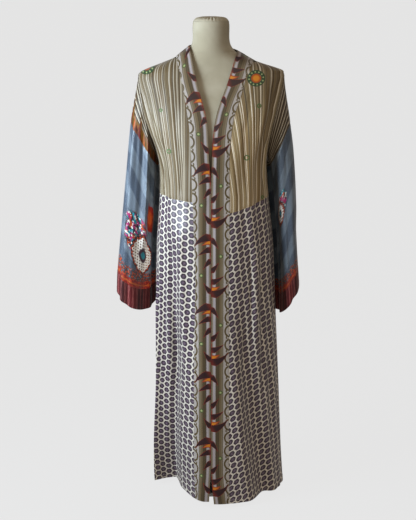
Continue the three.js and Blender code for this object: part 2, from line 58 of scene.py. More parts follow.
# The sharpest turn between faces that is still shaded smooth, in degrees
SMOOTH_UP_TO = 52
Array = np.ndarray
Number = Union[float, Array]
Pair = tuple[float, float]
Triple = tuple[float, float, float]
Rows = tuple[tuple[float, ...], ...]
Colour = tuple[float, float, float, float]
Material = bpy.types.Material
Socket = bpy.types.NodeSocket


class Side(Enum):
    """A side of the garment, as the picture shows it."""

    LEFT = -1
    RIGHT = 1

    @property
    def word(self) -> str:
        """The side's name in lower case."""
        return self.name.lower()


class Slot(Enum):
    """The record's material slots."""

    STRIPED = "striped_silk"
    DOTTED = "dotted_silk"
    BAND = "band_silk"
    GREY = "grey_silk"
    WINE = "wine_silk"
    LINEN = "linen"
    PAINTED = "painted_steel"


# Tables and curves


def smooth(share: Number) -> Number:
    """A smooth step from 0 to 1."""
    held = np.clip(share, 0, 1)
    return held * held * (3 - 2 * held)


def lerp(first: Number, second: Number, share: Number) -> Number:
    """The value a share of the way from the first to the second."""
    return first + (second - first) * share


def turn(angle: Number, start: Number) -> Number:
    """The shortest signed way from the start to the angle, in degrees."""
    return (angle - start + 180) % 360 - 180


def waves(angle: Number, rows: Sequence[Triple]) -> Number:
    """Ripples round a circle, from rows of count, strength and phase in degrees."""
    return sum(strength * np.cos(np.radians(angle * count + phase)) for count, strength, phase in rows)


def seam_dip(away: Number) -> Number:
    """How far cloth sinks, by the distance from its seam in millimetres."""
    return SEAM_DIP * np.exp(-((away / SEAM_REACH) ** 2))


def shares(count: int) -> Array:
    """Even shares from 0 to 1, as one row."""
    return np.linspace(0, 1, count + 1)[None, :]


def rounded(value: Number, power: Number) -> Number:
    """A sine or cosine raised to a power, with its sign kept, which squares off a circle."""
    return np.sign(value) * np.abs(value) ** power


class Table:
    """Rows of numbers under named columns, with a smooth curve through each column."""

    def __init__(self, names: str, rows: Sequence[Sequence[float]]) -> None:
        """Reads the table.

        Args:
            names: the columns' names, the first of which is the key.
            rows: the numbers, in the order of the key.
        """
        self.names = names.split()
        self.rows = np.array(rows, float)
        count = len(self.rows)
        before = np.maximum(np.arange(count) - 1, 0)
        after = np.minimum(np.arange(count) + 1, count - 1)
        span = (self.rows[after, 0] - self.rows[before, 0])[:, None]
        self.slopes = (self.rows[after] - self.rows[before]) / span

    def at(self, name: str, key: Number) -> Array:
        """The smooth curve through one column.

        Args:
            name: the column.
            key: where to read it.

        Returns:
            The column's values there.
        """
        column = self.names.index(name)
        keys, values = self.rows[:, 0], self.rows[:, column]
        held = np.clip(key, keys[0], keys[-1])
        row = np.clip(np.searchsorted(keys, held) - 1, 0, len(keys) - 2)
        span = keys[row + 1] - keys[row]
        share = (held - keys[row]) / span
        rise = values[row + 1] - values[row]
        start = self.slopes[row, column] * span
        end = self.slopes[row + 1, column] * span
        bend = share * (1 - share)
        return values[row] + rise * smooth(share) + bend * ((1 - share) * start - share * end)


SECTIONS = Table("z left right front back square", [
    (10, 172, 222, 170, 172, 2.1),
    (140, 173, 213, 166, 166, 2.15),
    (350, 164, 203, 158, 156, 2.2),
    (600, 162, 190, 147, 140, 2.3),
    (780, 158, 181, 138, 128, 2.4),
    (907, 149, 167, 131, 116, 2.4),
    (1000, 149, 160, 130, 110, 2.5),
    (1050, 160, 164, 129, 110, 2.6),
    (1100, 179, 174, 124, 112, 2.8),
    (1161, 198, 192, 112, 113, 2.8),
    (1215, 205, 204, 92, 105, 2.6),
    (1250, 206, 208, 77, 90, 2.4),
    (1259, 203, 206, 74, 86, 2.3),
    (1268, 190, 202, 71, 82, 2.3),
    (1290, 134, 135, 66, 73, 2.2),
    (1302, 105, 108, 63, 68, 2.2),
    (1312, 90, 91, 61, 65, 2.1),
    (1324, 74, 73, 59, 61, 2.05),
    (1340, 58, 58, 57, 58, 2),
])
RECESS = Table("angle push", [
    (-180, 0), (-98, 0), (-90, 2), (-82, 16), (-75, 40), (-68, 65), (-60, 91), (-50, 123),
    (-42, 144), (-37, 148), (-34, 122), (-31, 88), (-28, 72), (-22, 48), (-16, 22), (-11, 8),
    (-5, 0), (180, 0),
])
HEM = Table("angle z", [
    (-180, 24), (-120, 26), (-90, 21), (-60, 19), (-37, 19), (-22, 22), (-8, 21), (8, 15),
    (26, 14), (46, 17), (66, 20), (90, 24), (120, 26), (180, 24),
])
BAND_EDGES = Table("z leftIn leftOut rightIn rightOut", [
    (0, 6, 45, 10, 54),
    (60, 3, 47, 4, 54),
    (120, 0, 49, 0, 53),
    (300, 0, 49, 0, 52),
    (480, 0, 48, 0, 52),
    (680, 0, 45, 0, 50),
    (860, 0, 50, 0, 52),
    (960, 0, 53, 0, 52),
    (1030, 5, 55, 2, 51),
    (1083, 7, 58, 4, 55),
    (1121, 9, 61, 8, 59),
    (1155, 15, 66, 15, 66),
    (1191, 25, 72, 27, 79),
    (1229, 36, 80, 42, 91),
    (1267, 45, 88, 55, 103),
    (1296, 51, 95, 64, 119),
    (1312, 54, 100, 70, 130),
    (1338, 61, 108, 80, 142),
])
SLEEVES = {
    Side.LEFT: Table("at ox oz ix iz front back drop skew", [
        (0, 203, 1260, 155, 1034, 50, 56, 0, 0),
        (0.08, 213, 1212, 156, 1016, 58, 64, 2, 15),
        (0.215, 229, 1124, 150, 992, 70, 78, 4, 45),
        (0.45, 245, 975, 150, 872, 77, 85, 8, 65),
        (0.7, 262, 812, 158, 736, 80, 88, 17, 70),
        (0.9, 275, 688, 163, 640, 80, 88, 26, 70),
        (1, 278, 628, 164, 583, 78, 86, 31, 70),
    ]),
    Side.RIGHT: Table("at ox oz ix iz front back drop skew", [
        (0, 206, 1260, 165, 1034, 50, 56, 0, 0),
        (0.08, 212, 1212, 165, 1014, 58, 64, 2, 15),
        (0.215, 227, 1120, 160.5, 988, 70, 80, 6, 45),
        (0.45, 241, 966, 170.5, 856, 80, 88, 11, 65),
        (0.7, 249, 806, 181.5, 708, 84, 90, 16, 70),
        (0.9, 256, 704, 186.5, 614, 86, 90, 22, 70),
        (1, 260, 652, 188.5, 559, 85, 88, 26, 70),
    ]),
}

# The largest folds: angle at the top and at the hem, height range, half width in degrees,
# depth inwards at the hem, and the share of the depth that goes sideways
FOLDS = (
    (-52, -60, 1230, 930, 9, 7, 0.8),
    (-30, -34, 1190, 940, 7, 5, 0.8),
    (22, 47, 720, 20, 11, 44, 0.2),
    (13, 31, 640, 20, 6, -10, 0.4),
    (50, 68, 800, 20, 6, 12, 0.3),
    (33, 30, 1180, 940, 8, 6, 0.8),
    (60, 50, 1200, 960, 8, 7, 0.8),
    (112, 110, 1000, 20, 8, 24, 1),
    (138, 137, 1080, 20, 9, 32, 1),
    (166, 163, 1040, 20, 8, 28, 1),
    (-169, -168, 1100, 20, 8, 30, 1),
    (-142, -143, 1040, 20, 9, 33, 1),
    (-118, -119, 980, 20, 8, 24, 1),
)
# Small creases of the body: angle at the top and at the lower end, height of both ends,
# half width and depth inwards. A lower end below the hem doesn't fade out.
CREASES = (
    (-65, -50, 1225, 1075, 9, 3.5),
    (-53, -42, 1245, 1105, 8, 3),
    (-37, -38, 1235, 1045, 9, 2.5),
    (-21, -29, 1190, 1010, 9, 3),
    (-60, -72, 1080, 925, 10, 4),
    (-45, -52, 1120, 940, 8, -2.5),
    (-27, -32, 1045, 915, 8, 3.5),
    (27, 24, 1225, 1080, 9, 2),
    (54, 59, 1250, 1045, 12, 4.5),
    (22, 39, 1145, 925, 9, 2.5),
    (66, 55, 1255, 1140, 8, 3.5),
    (44, 48, 1230, 1000, 10, -2.5),
    (68, 66, 1090, 930, 11, 5),
    (-69, -69.5, 760, -1, 7, 6),
    (-75, -77, 740, -1, 9, -5),
    (-20, -27, 600, -1, 8, 2.5),
    (-32, -20, 890, 300, 12, -10),
    (-48, -36, 890, 280, 13, 10),
    (-66, -68, 880, 300, 12, -5),
    (-55, -58, 880, 420, 12, 3),
    (-44, -48, 700, 60, 9, -3),
    (35, 36.5, 800, 430, 6, 5.5),
    (29, 26, 560, 380, 6, 4.5),
    (52, 49, 780, 260, 7, 5.5),
    (60, 60, 700, 60, 9, 4),
    (44, 42, 820, 500, 10, -3),
    (75, 78, 850, -1, 10, 5),
    (125, 122, 1215, 1010, 11, 4),
    (150, 152, 1235, 1060, 9, 3),
    (175, 172, 1200, 980, 9, -2.5),
    (-160, -158, 1225, 1040, 10, 3.5),
    (-135, -138, 1230, 990, 11, 4),
    (-115, -118, 1190, 960, 9, 3.5),
    (124, 123, 860, -1, 8, 5),
    (151, 150, 800, -1, 9, -5),
    (177, 176, 870, 300, 8, 4),
    (-155, -156, 820, -1, 9, 5),
    (-129, -130, 880, -1, 8, -4.5),
    (-104, -106, 840, -1, 9, 5),
    (101, 100, 840, -1, 9, 5),
)
# The sleeves' long folds: angle round the sleeve, half width in degrees, depth, start
SLEEVE_FOLDS = (
    (62, 15, 8, 0.1),
    (118, 17, 9, 0.02),
    (212, 17, 8, 0.15),
    (262, 16, 10, 0.05),
    (318, 15, 7, 0.2),
)
# Small creases of the sleeves: angle at both ends, share of the length at both ends,
# half width in degrees and depth inwards
SLEEVE_CREASES = {
    Side.LEFT: (
        (100, 101, 0.02, 0.74, 8, -17),
        (85, 85, 0.05, 0.9, 8, 5),
        (152, 154, 0.05, 1.3, 14, 9),
        (24, 26, 0.2, 1.2, 10, 7),
        (131, 128, 0.22, 0.6, 8, -3),
        (75, 80, 0.25, 0.85, 8, 3),
        (50, 45, 0.12, 0.5, 10, -3.5),
        (95, 88, 0.55, 0.98, 10, 4),
        (140, 148, 0.3, 0.95, 10, 4.5),
        (200, 205, 0.15, 0.8, 10, 4),
        (235, 232, 0.1, 0.7, 9, -3.5),
        (285, 290, 0.05, 0.6, 10, 4),
        (340, 335, 0.2, 0.9, 10, 3.5),
        (20, 25, 0.3, 0.9, 9, 3),
    ),
    Side.RIGHT: (
        (149, 149, 0.08, 1.4, 13, 26),
        (98, 92, 0.15, 0.55, 9, -3),
        (78, 74, 0.3, 0.9, 9, 3.5),
        (112, 120, 0.4, 0.95, 9, 3.5),
        (40, 48, 0.1, 0.6, 10, 3),
        (150, 145, 0.25, 0.8, 11, 5),
        (205, 200, 0.12, 0.7, 10, 4),
        (240, 244, 0.3, 0.95, 9, -3.5),
        (290, 282, 0.05, 0.65, 10, 4),
        (335, 342, 0.25, 0.95, 10, 3.5),
        (15, 8, 0.2, 0.7, 9, -2.5),
    ),
}


# Cloth meshes


@dataclass
class Grid:
    """A cloth's middle surface as rows and columns of points, in millimetres.

    The print and stripe maps hold the cloth's own coordinates in metres at each point.
    """

    points: Array
    normals: Array
    print_map: Array
    stripe_map: Array
    closed: bool = False

    def area(self) -> float:
        """The middle surface's area in square metres.

        Returns:
            The area, of one side alone.
        """
        across = np.diff(self.points, axis=1)[:-1]
        along = np.diff(self.points, axis=0)[:, :-1]
        return float(np.linalg.norm(np.cross(across, along), axis=2).sum()) * MM * MM

    def rows(self, first: int, last: int) -> "Grid":
        """The part of the grid from one row to another."""
        maps = self.points, self.normals, self.print_map, self.stripe_map
        return Grid(*(values[first:last + 1] for values in maps), self.closed)

    def shell(self, name: str, thickness: float) -> bpy.types.Object:
        """Makes a closed thin wall of the surface, with both maps on it.

        Args:
            name: the object's name.
            thickness: the wall's thickness in millimetres.

        Returns:
            The new object.
        """
        rows, columns = (count - 1 for count in self.points.shape[:2])
        width = columns if self.closed else columns + 1
        middle, normal = self.points[:, :width], self.normals[:, :width]
        layers = [middle + normal * thickness / 2, middle - normal * thickness / 2]
        positions = np.concatenate([layer.reshape(-1, 3) for layer in layers]) * MM
        count = len(positions) // 2
        i, j = np.meshgrid(np.arange(rows), np.arange(columns), indexing="ij")
        i, j = i.ravel(), j.ravel()

        def vertex(row: Array, column: Array) -> Array:
            """The outer vertex at a row and column."""
            return row * width + column % width

        def spot(row: Array, column: Array) -> Array:
            """The place in the maps of a row and column."""
            return row * (columns + 1) + column

        square = [(i, j), (i, j + 1), (i + 1, j + 1), (i + 1, j)]
        faces = [np.stack([vertex(*c) for c in square], 1)]
        spots = [np.stack([spot(*c) for c in square], 1)]
        faces.append(faces[0][:, ::-1] + count)
        spots.append(spots[0][:, ::-1])
        line, column = np.arange(columns), np.arange(rows)
        first_row, last_row = 0 * line, 0 * line + rows
        rims = [((first_row, line), (first_row, line + 1)), ((last_row, line + 1), (last_row, line))]
        if not self.closed:
            start, end = 0 * column, 0 * column + columns
            rims += [((column + 1, start), (column, start)), ((column, end), (column + 1, end))]
        for first, second in rims:
            a, b = vertex(*first), vertex(*second)
            faces.append(np.stack([b, a, a + count, b + count], 1))
            s, t = spot(*first), spot(*second)
            spots.append(np.stack([t, s, s, t], 1))
        return solid(name, positions, np.concatenate(faces), {
            "print": self.print_map.reshape(-1, 2)[np.concatenate(spots)],
            "stripe": self.stripe_map.reshape(-1, 2)[np.concatenate(spots)],
        })


def solid(name: str, positions: Array, faces: Array, maps: dict[str, Array]) -> bpy.types.Object:
    """Makes a smooth-shaded closed mesh whose faces point outwards.

    Args:
        name: the object's name.
        positions: the vertices in metres.
        faces: four vertices a row; the last two are equal for a triangle.
        maps: UV maps by name, with a pair for each corner of each face.

    Returns:
        The new object.
    """
    a, b, c, d = (positions[faces[:, n]] for n in range(4))
    volume = np.einsum("ij,ij->", a, np.cross(b, c)) + np.einsum("ij,ij->", a, np.cross(c, d))
    if volume < 0:
        faces = faces[:, ::-1]
        maps = {key: value[:, ::-1] for key, value in maps.items()}
    mesh = bpy.data.meshes.new(name)
    polygons = [list(dict.fromkeys(face)) for face in faces.tolist()]
    mesh.from_pydata(positions.tolist(), [], polygons)
    for key, value in maps.items():
        layer = mesh.uv_layers.new(name=key)
        layer.data.foreach_set("uv", np.ascontiguousarray(value, dtype=np.float32).ravel())
    mesh.shade_smooth()
    mesh.set_sharp_from_angle(angle=math.radians(SMOOTH_UP_TO))
    mesh.update()
    piece = bpy.data.objects.new(name, mesh)
    bpy.context.scene.collection.objects.link(piece)
    return piece


def run(points: Array, axis: int) -> Array:
    """The distance from the first point along rows (axis 1) or columns (axis 0).

    Args:
        points: rows and columns of points.
        axis: the way to go.

    Returns:
        The distances, from 0.
    """
    steps = np.linalg.norm(np.diff(points, axis=axis), axis=2)
    start = np.zeros_like(np.take(steps, [0], axis=axis))
    return np.concatenate([start, np.cumsum(steps, axis=axis)], axis=axis)


def normals_of(point: Callable[..., Array], a: Number, b: Number, steps: Pair) -> Array:
    """Unit normals of a surface given by two parameters.

    Args:
        point: the surface.
        a: the first parameter.
        b: the second parameter.
        steps: how far to step in each parameter.

    Returns:
        The normals, which follow the first direction crossed with the second.
    """
    over = point(a + steps[0], b) - point(a - steps[0], b)
    down = point(a, b + steps[1]) - point(a, b - steps[1])
    normal = np.cross(over, down)
    length = np.linalg.norm(normal, axis=-1, keepdims=True)
    return normal / np.maximum(length, 1e-9)


def hand_in(piece: bpy.types.Object, material: Material, slot: Slot, *nodes: str) -> bpy.types.Object:
    """Gives a piece its finish and its place among the bodies.

    Args:
        piece: the object.
        material: its finish.
        slot: the record's slot that the finish stands for; not used.
        nodes: the CAD nodes it replaces.

    Returns:
        The piece.
    """
    piece.data.materials.clear()
    piece.data.materials.append(material)
    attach(piece, "root")
    if nodes:
        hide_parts(*nodes)
    LOG.info("%s: %d faces", piece.name, len(piece.data.polygons))
    return piece


@dataclass(frozen=True)
class Cut:
    """A sheet's flat size in metres, its area after shaping, and what holds it."""

    flat: Pair
    area: float | None = None
    held: str = "hung"
    rests_on: tuple[str, ...] = ("form_torso",)


@dataclass(frozen=True)
class Cloth:
    """What a garment's panels are made of."""

    silk: Material
    slot: Slot
    thickness: float

    def hang(self, name: str, node: str, grid: Grid, cut: Cut) -> None:
        """Args:
            name: the piece's name after "kimono_".
            node: the CAD node it replaces.
            grid: its middle surface.
            cut: its cut; not used.
        """
        piece = hand_in(grid.shell(f"kimono_{name}", self.thickness), self.silk, self.slot, node)
        LOG.info("%s: %.3f square metres", piece.name, grid.area())


# The garment's body


@dataclass(frozen=True)
class Body:
    """The surface that the body panels and the neckband lie on."""

    waist_left: float = 918
    waist_front_left: float = 908
    waist_right: float = 910
    waist_front_right: float = 876
    underarm: float = 1030
    shoulder: float = 1260
    armhole_front: float = 50
    armhole_back: float = 56
    recess_start: float = 820
    recess_end: float = 20
    band_turn: float = 1200
    band_top: dict[str, float] = field(default_factory=lambda: {
        "leftIn": 1336, "leftOut": 1305, "rightIn": 1322, "rightOut": 1295, "backIn": 1338, "backOut": 1288,
    })
    bodice_drop: float = 3
    gather_depth: float = 0.7
    gather_reach: float = 24
    gather_waves: Rows = ((37, 1, 0), (61, 0.6, 40))
    recess_ease: float = 1.15
    crease_spread: float = 2.7
    crease_start: float = 4
    crease_end: float = 3.5
    waist_turn: float = 75
    arch_power: float = 0.7

    def folded(self, angle: Number, z: Number) -> tuple[Number, Number, Number]:
        """How far the large folds push the surface.

        Args:
            angle: angle round the body.
            z: height.

        Returns:
            The push sideways, inwards and backwards.
        """
        across, along = 0.0, 0.0
        for top, hem, start, full, width, depth, share in FOLDS:
            down = np.clip((start - z) / (start - full), 0, 1)
            away = turn(angle, lerp(top, hem, down)) / width
            push = depth * smooth(down) * np.exp(-away * away)
            across, along = across + push * share, along + push
        reach = self.recess_start - self.recess_end
        deep = np.clip((self.recess_start - z) / reach, 0, 1) ** self.recess_ease
        return across, along, deep * RECESS.at("push", turn(angle, 0))

    def creased(self, angle: Number, z: Number) -> Number:
        """How far the small creases and the seams' gathers push the surface inwards.

        Args:
            angle: angle round the body, in degrees.
            z: height.

        Returns:
            The push, in millimetres.
        """
        total = 0.0
        for top, low, start, end, width, depth in CREASES:
            down = np.clip((start - z) / (start - end), 0, 1)
            away = turn(angle, lerp(top, low, down)) * self.crease_spread / width
            fade = smooth(down * self.crease_start)
            if end >= 0:
                fade = fade * smooth((1 - down) * self.crease_end)
            total = total + depth * fade * np.exp(-away * away)
        near = np.exp(-np.abs(z - self.waist(turn(angle, 0))) / self.gather_reach)
        return total + self.gather_depth * near * waves(angle, self.gather_waves)

    def point(self, angle: Number, z: Number) -> Array:
        """A point of the surface; the angle is 0 at the front and 90 at the +X side.

        Args:
            angle: angle round the body, in degrees.
            z: height.

        Returns:
            The point or points.
        """
        sine, cosine = np.sin(np.radians(angle)), np.cos(np.radians(angle))
        power = 2 / SECTIONS.at("square", z)
        half = np.where(sine < 0, SECTIONS.at("left", z), SECTIONS.at("right", z))
        depth = np.where(cosine > 0, SECTIONS.at("front", z), SECTIONS.at("back", z))
        across, along, back = self.folded(angle, z)
        fine = self.creased(angle, z)
        x = half * rounded(sine, power) - (across + fine) * sine
        y = (along + fine) * cosine + back - depth * rounded(cosine, power)
        return np.stack(np.broadcast_arrays(x, y, z), -1)

    def normal(self, angle: Number, z: Number) -> Array:
        """The outward unit normals of the surface."""
        return normals_of(self.point, angle, z, (0.3, 1.2))

    def waist(self, angle: Number) -> Number:
        """The height of the seam between bodice and skirt.

        Args:
            angle: angle round the body, from -180 to 180.

        Returns:
            The height.
        """
        left = np.asarray(angle) < 0
        side = np.where(left, self.waist_left, self.waist_right)
        front = np.where(left, self.waist_front_left, self.waist_front_right)
        return lerp(front, side, smooth(np.abs(angle) / self.waist_turn))

    def open_depth(self, z: Number, depth: float) -> Number:
        """Half the opening between front and back: an armhole, or a seam below it.

        Args:
            z: height.
            depth: the armhole's greatest half depth.

        Returns:
            Half the opening.
        """
        share = np.clip((z - self.underarm) / (self.shoulder - self.underarm), 0, 1)
        arch = np.clip(np.sin(np.pi * share), 0, 1) ** self.arch_power
        return np.maximum(0.01, depth * arch)

    def opening(self, face: str, half: float, z: Number) -> Number:
        """The angle between a face's middle and its side edge.

        Args:
            face: front or back.
            half: half the armhole's depth on that face.
            z: height.

        Returns:
            The angle.
        """
        share = self.open_depth(z, half) / SECTIONS.at(face, z)
        return np.degrees(np.arccos(np.clip(share, 0, 1) ** (SECTIONS.at("square", z) / 2)))

    def front_side(self, z: Number) -> Number:
        """The angle of the front panels' side edge."""
        return self.opening("front", self.armhole_front, z)

    def back_side(self, z: Number) -> Number:
        """The angle of the back panels' side edge."""
        return 180 - self.opening("back", self.armhole_back, z)

    def edge(self, side: Side, name: str, z: Number, shift: float = 0) -> Number:
        """The neckband's edge as an angle.

        Args:
            side: the front it is on.
            name: In or Out.
            z: height.
            shift: a distance to move it outwards.

        Returns:
            The angle, which stays on the shoulder seam above it.
        """
        held = np.minimum(z, SECTIONS.rows[-1, 0])
        distance = BAND_EDGES.at(side.word + name, z) + shift
        half = SECTIONS.at(side.word, z)
        share = np.clip(np.abs(distance) / half, 0, 1) ** (SECTIONS.at("square", z) / 2)
        angle = np.degrees(np.arcsin(share)) * np.sign(distance)
        return side.value * np.minimum(angle, self.front_side(held))

    def band_angle(self, side: Side) -> float:
        """The band seam's angle half way down the skirt."""
        return float(self.edge(side, "Out", 500.0))

    def bodice_top(self, side: Side) -> float:
        """The height where a front panel ends beside the band."""
        return self.band_top[side.word + "Out"] - self.bodice_drop

    def neck(self, edge: str, angle: Number) -> Number:
        """The band's edge behind the neck, by angle from 90 to 270."""
        end = np.where(angle < 180, self.band_top["right" + edge], self.band_top["left" + edge])
        return lerp(self.band_top["back" + edge], end, smooth(np.abs(angle - 180) / 90))


def rise_of(v: Number) -> Number:
    """Rows of a bodice panel close up towards the top."""
    return 1 - (1 - v) ** ROWS_CLOSE


def turned_map(u: Array, v: Array, angle: float) -> Array:
    """A map in metres from distances in millimetres, turned by an angle."""
    cosine, sine = math.cos(math.radians(angle)), math.sin(math.radians(angle))
    return np.stack([u * cosine - v * sine, u * sine + v * cosine], -1) * MM


def edge_rows(step: float, length: float, fine: Sequence[float]) -> Array:
    """Shares from 0 to 1 in even steps, after some fine ones at the start.

    Args:
        step: the even steps' length.
        length: the panel's length.
        fine: the distances of the fine rows from the start.

    Returns:
        The shares.
    """
    fine_shares = np.array(fine) / length
    count = max(2, round((1 - fine_shares[-1]) * length / step))
    return np.concatenate([fine_shares, np.linspace(fine_shares[-1], 1, count + 1)[1:]])


@dataclass(frozen=True)
class Skirt:
    """The lower part of the garment: two fronts and a back of dotted silk."""

    body: Body
    thickness: float = 0.9
    hem: float = 12
    hem_edge: float = 1.6
    hem_step: float = 0.45
    hem_rows: tuple[float, ...] = (0, 2, 7, 11.2, 12.8)
    row: float = 5.5
    length: float = 890
    front_columns: int = 104
    back_columns: int = 150
    lean_left: float = -4
    lean_right: float = -8
    shear_right: float = 0.3
    cut_front: Cut = Cut((0.32, 0.92), 0.21)
    cut_back: Cut = Cut((0.72, 0.92), 0.5)
    slope_angle: float = -22
    slope_width: float = 15
    slope_ease: float = 0.6

    def across(self, points: Array, angle: Array) -> Array:
        """The print's distance across the panel; it stretches on the slope of the recess.

        Args:
            points: the panel's points.
            angle: their angles round the body.

        Returns:
            The distance from the first column.
        """
        away = turn(angle[:, 1:], self.slope_angle) / self.slope_width
        steps = np.diff(points, axis=1)
        steps[..., 1] *= 1 - self.slope_ease * np.exp(-away * away)
        lengths = np.linalg.norm(steps, axis=2)
        return np.concatenate([0 * lengths[:, :1], np.cumsum(lengths, axis=1)], axis=1)

    def grid(self, z: Array, angle: Array, start: float, lean: float, shear: float = 0) -> Grid:
        """The panel's grid on the body surface.

        Args:
            z: heights of the points, rows from the hem upwards.
            angle: their angles round the body.
            start: the share of the columns at which the pattern's middle lies.
            lean: how far the pattern leans, in degrees.
            shear: how far it rises for each step outwards.

        Returns:
            The grid, with its hem a little thicker.
        """
        points, normals = self.body.point(angle, z), self.body.normal(angle, z)
        up = run(points, 0)
        down = up - up[-1:]
        along = self.across(points, angle)
        middle = along[:, int(start * (z.shape[1] - 1))][:, None]
        above = np.clip((self.hem + self.hem_edge / 2 - up) / self.hem_edge, 0, 1)
        points = points + normals * (self.hem_step * above - seam_dip(down))[..., None]
        pattern = turned_map(along - middle, down - shear * (along - middle), lean)
        return Grid(points, normals, pattern, pattern)

    def front(self, side: Side) -> Grid:
        """The grid of one front.

        Args:
            side: the front's side.

        Returns:
            The grid, with columns from the band outwards.
        """
        v = edge_rows(self.row, self.length, self.hem_rows)[:, None]
        share = shares(self.front_columns)
        guess = lerp(self.body.band_angle(side), side.value * 90, share)
        z = lerp(HEM.at("z", guess), self.body.waist(guess), v)
        angle = lerp(self.body.edge(side, "Out", z), side.value * self.body.front_side(z), share)
        if side is Side.LEFT:
            return self.grid(z, angle, 0, self.lean_left)
        return self.grid(z, angle, 0, self.lean_right, self.shear_right)

    def back(self) -> Grid:
        """The grid of the back.

        Returns:
            The grid, with columns from the right side to the left.
        """
        v = edge_rows(self.row, self.length, self.hem_rows)[:, None]
        share = shares(self.back_columns)
        guess = turn(lerp(90, 270, share), 0)
        z = lerp(HEM.at("z", guess), self.body.waist(guess), v)
        side = self.body.back_side(z)
        return self.grid(z, lerp(side, 360 - side, share), 0.5, 0)

    def build(self, silk: Material) -> None:
        """Builds the three panels of dotted silk.

        Args:
            silk: the panels' finish.
        """
        cloth = Cloth(silk, Slot.DOTTED, self.thickness)
        for side in Side:
            cloth.hang(f"skirt_{side.word}", f"skirt_front_{side.word}", self.front(side), self.cut_front)
        cloth.hang("skirt_back", "skirt_back", self.back(), self.cut_back)


@dataclass(frozen=True)
class Bodice:
    """The upper part of the garment's body: two fronts and a back of striped silk."""

    body: Body
    thickness: float = 0.9
    rows: int = 92
    front_columns: int = 56
    back_columns: int = 120
    gather_top: float = 1245
    gather_low: float = 925
    gather_left: float = -75
    gather_right: float = 148
    gather: float = 0.8
    gather_more: float = 1.1
    cut_front: Cut = Cut((0.22, 0.42), 0.066)
    cut_back: Cut = Cut((0.46, 0.42), 0.17)

    def grid(self, z: Array, angle: Array, start: Array, middle: float, gather: float) -> Grid:
        """The panel's grid on the body surface.

        Args:
            z: heights of the points, rows upwards.
            angle: their angles round the body.
            start: signed distance of the first column from the middle of the garment.
            middle: the line that the stripes gather towards.
            gather: how much narrower the stripes are at the waist.

        Returns:
            The grid.
        """
        points, normals = self.body.point(angle, z), self.body.normal(angle, z)
        way = np.sign(start[:1, :1]) if np.any(start) else 1.0
        across = start + way * run(points, 1)
        points = points - normals * seam_dip(run(points, 0))[..., None]
        down = np.clip((self.gather_top - z) / (self.gather_top - self.gather_low), 0, 1)
        stripe = (across - middle) * lerp(1, 1 + gather, down)
        return Grid(
            points,
            normals,
            np.stack(np.broadcast_arrays(across, z), -1) * MM,
            np.stack(np.broadcast_arrays(stripe, z), -1) * MM,
        )

    def front(self, side: Side) -> Grid:
        """The grid of one front.

        Args:
            side: the front's side.

        Returns:
            The grid, with columns from the band outwards.
        """
        v = shares(self.rows).T
        share = shares(self.front_columns)
        guess = lerp(self.body.band_angle(side), side.value * 90, share)
        z = lerp(self.body.waist(guess), self.body.bodice_top(side), rise_of(v))
        seam = self.body.edge(side, "Out", z)
        angle = lerp(seam, side.value * self.body.front_side(z), share)
        start = side.value * BAND_EDGES.at(side.word + "Out", z[:, :1])
        if side is Side.LEFT:
            return self.grid(z, angle, start, self.gather_left, self.gather)
        return self.grid(z, angle, start, self.gather_right, self.gather_more)

    def back(self) -> Grid:
        """The grid of the back.

        Returns:
            The grid, whose maps start at the middle of the back.
        """
        v = shares(self.rows).T
        share = shares(self.back_columns)
        guess = lerp(90, 270, share)
        top = self.body.neck("Out", guess)
        z = lerp(self.body.waist(turn(guess, 0)), top, rise_of(v))
        side = self.body.back_side(z)
        angle = lerp(side, 360 - side, share)
        grid = self.grid(z, angle, np.zeros((len(v), 1)), 0, 0)
        centred = grid.print_map[..., 0] - grid.print_map[:, self.back_columns // 2, 0][:, None]
        grid.print_map[..., 0] = grid.stripe_map[..., 0] = centred
        return grid

    def build(self, silk: Material) -> None:
        """Builds the three panels of striped silk.

        Args:
            silk: the panels' finish.
        """
        cloth = Cloth(silk, Slot.STRIPED, self.thickness)
        for side in Side:
            cloth.hang(f"bodice_{side.word}", f"bodice_front_{side.word}", self.front(side), self.cut_front)
        cloth.hang("bodice_back", "bodice_back", self.back(), self.cut_back)


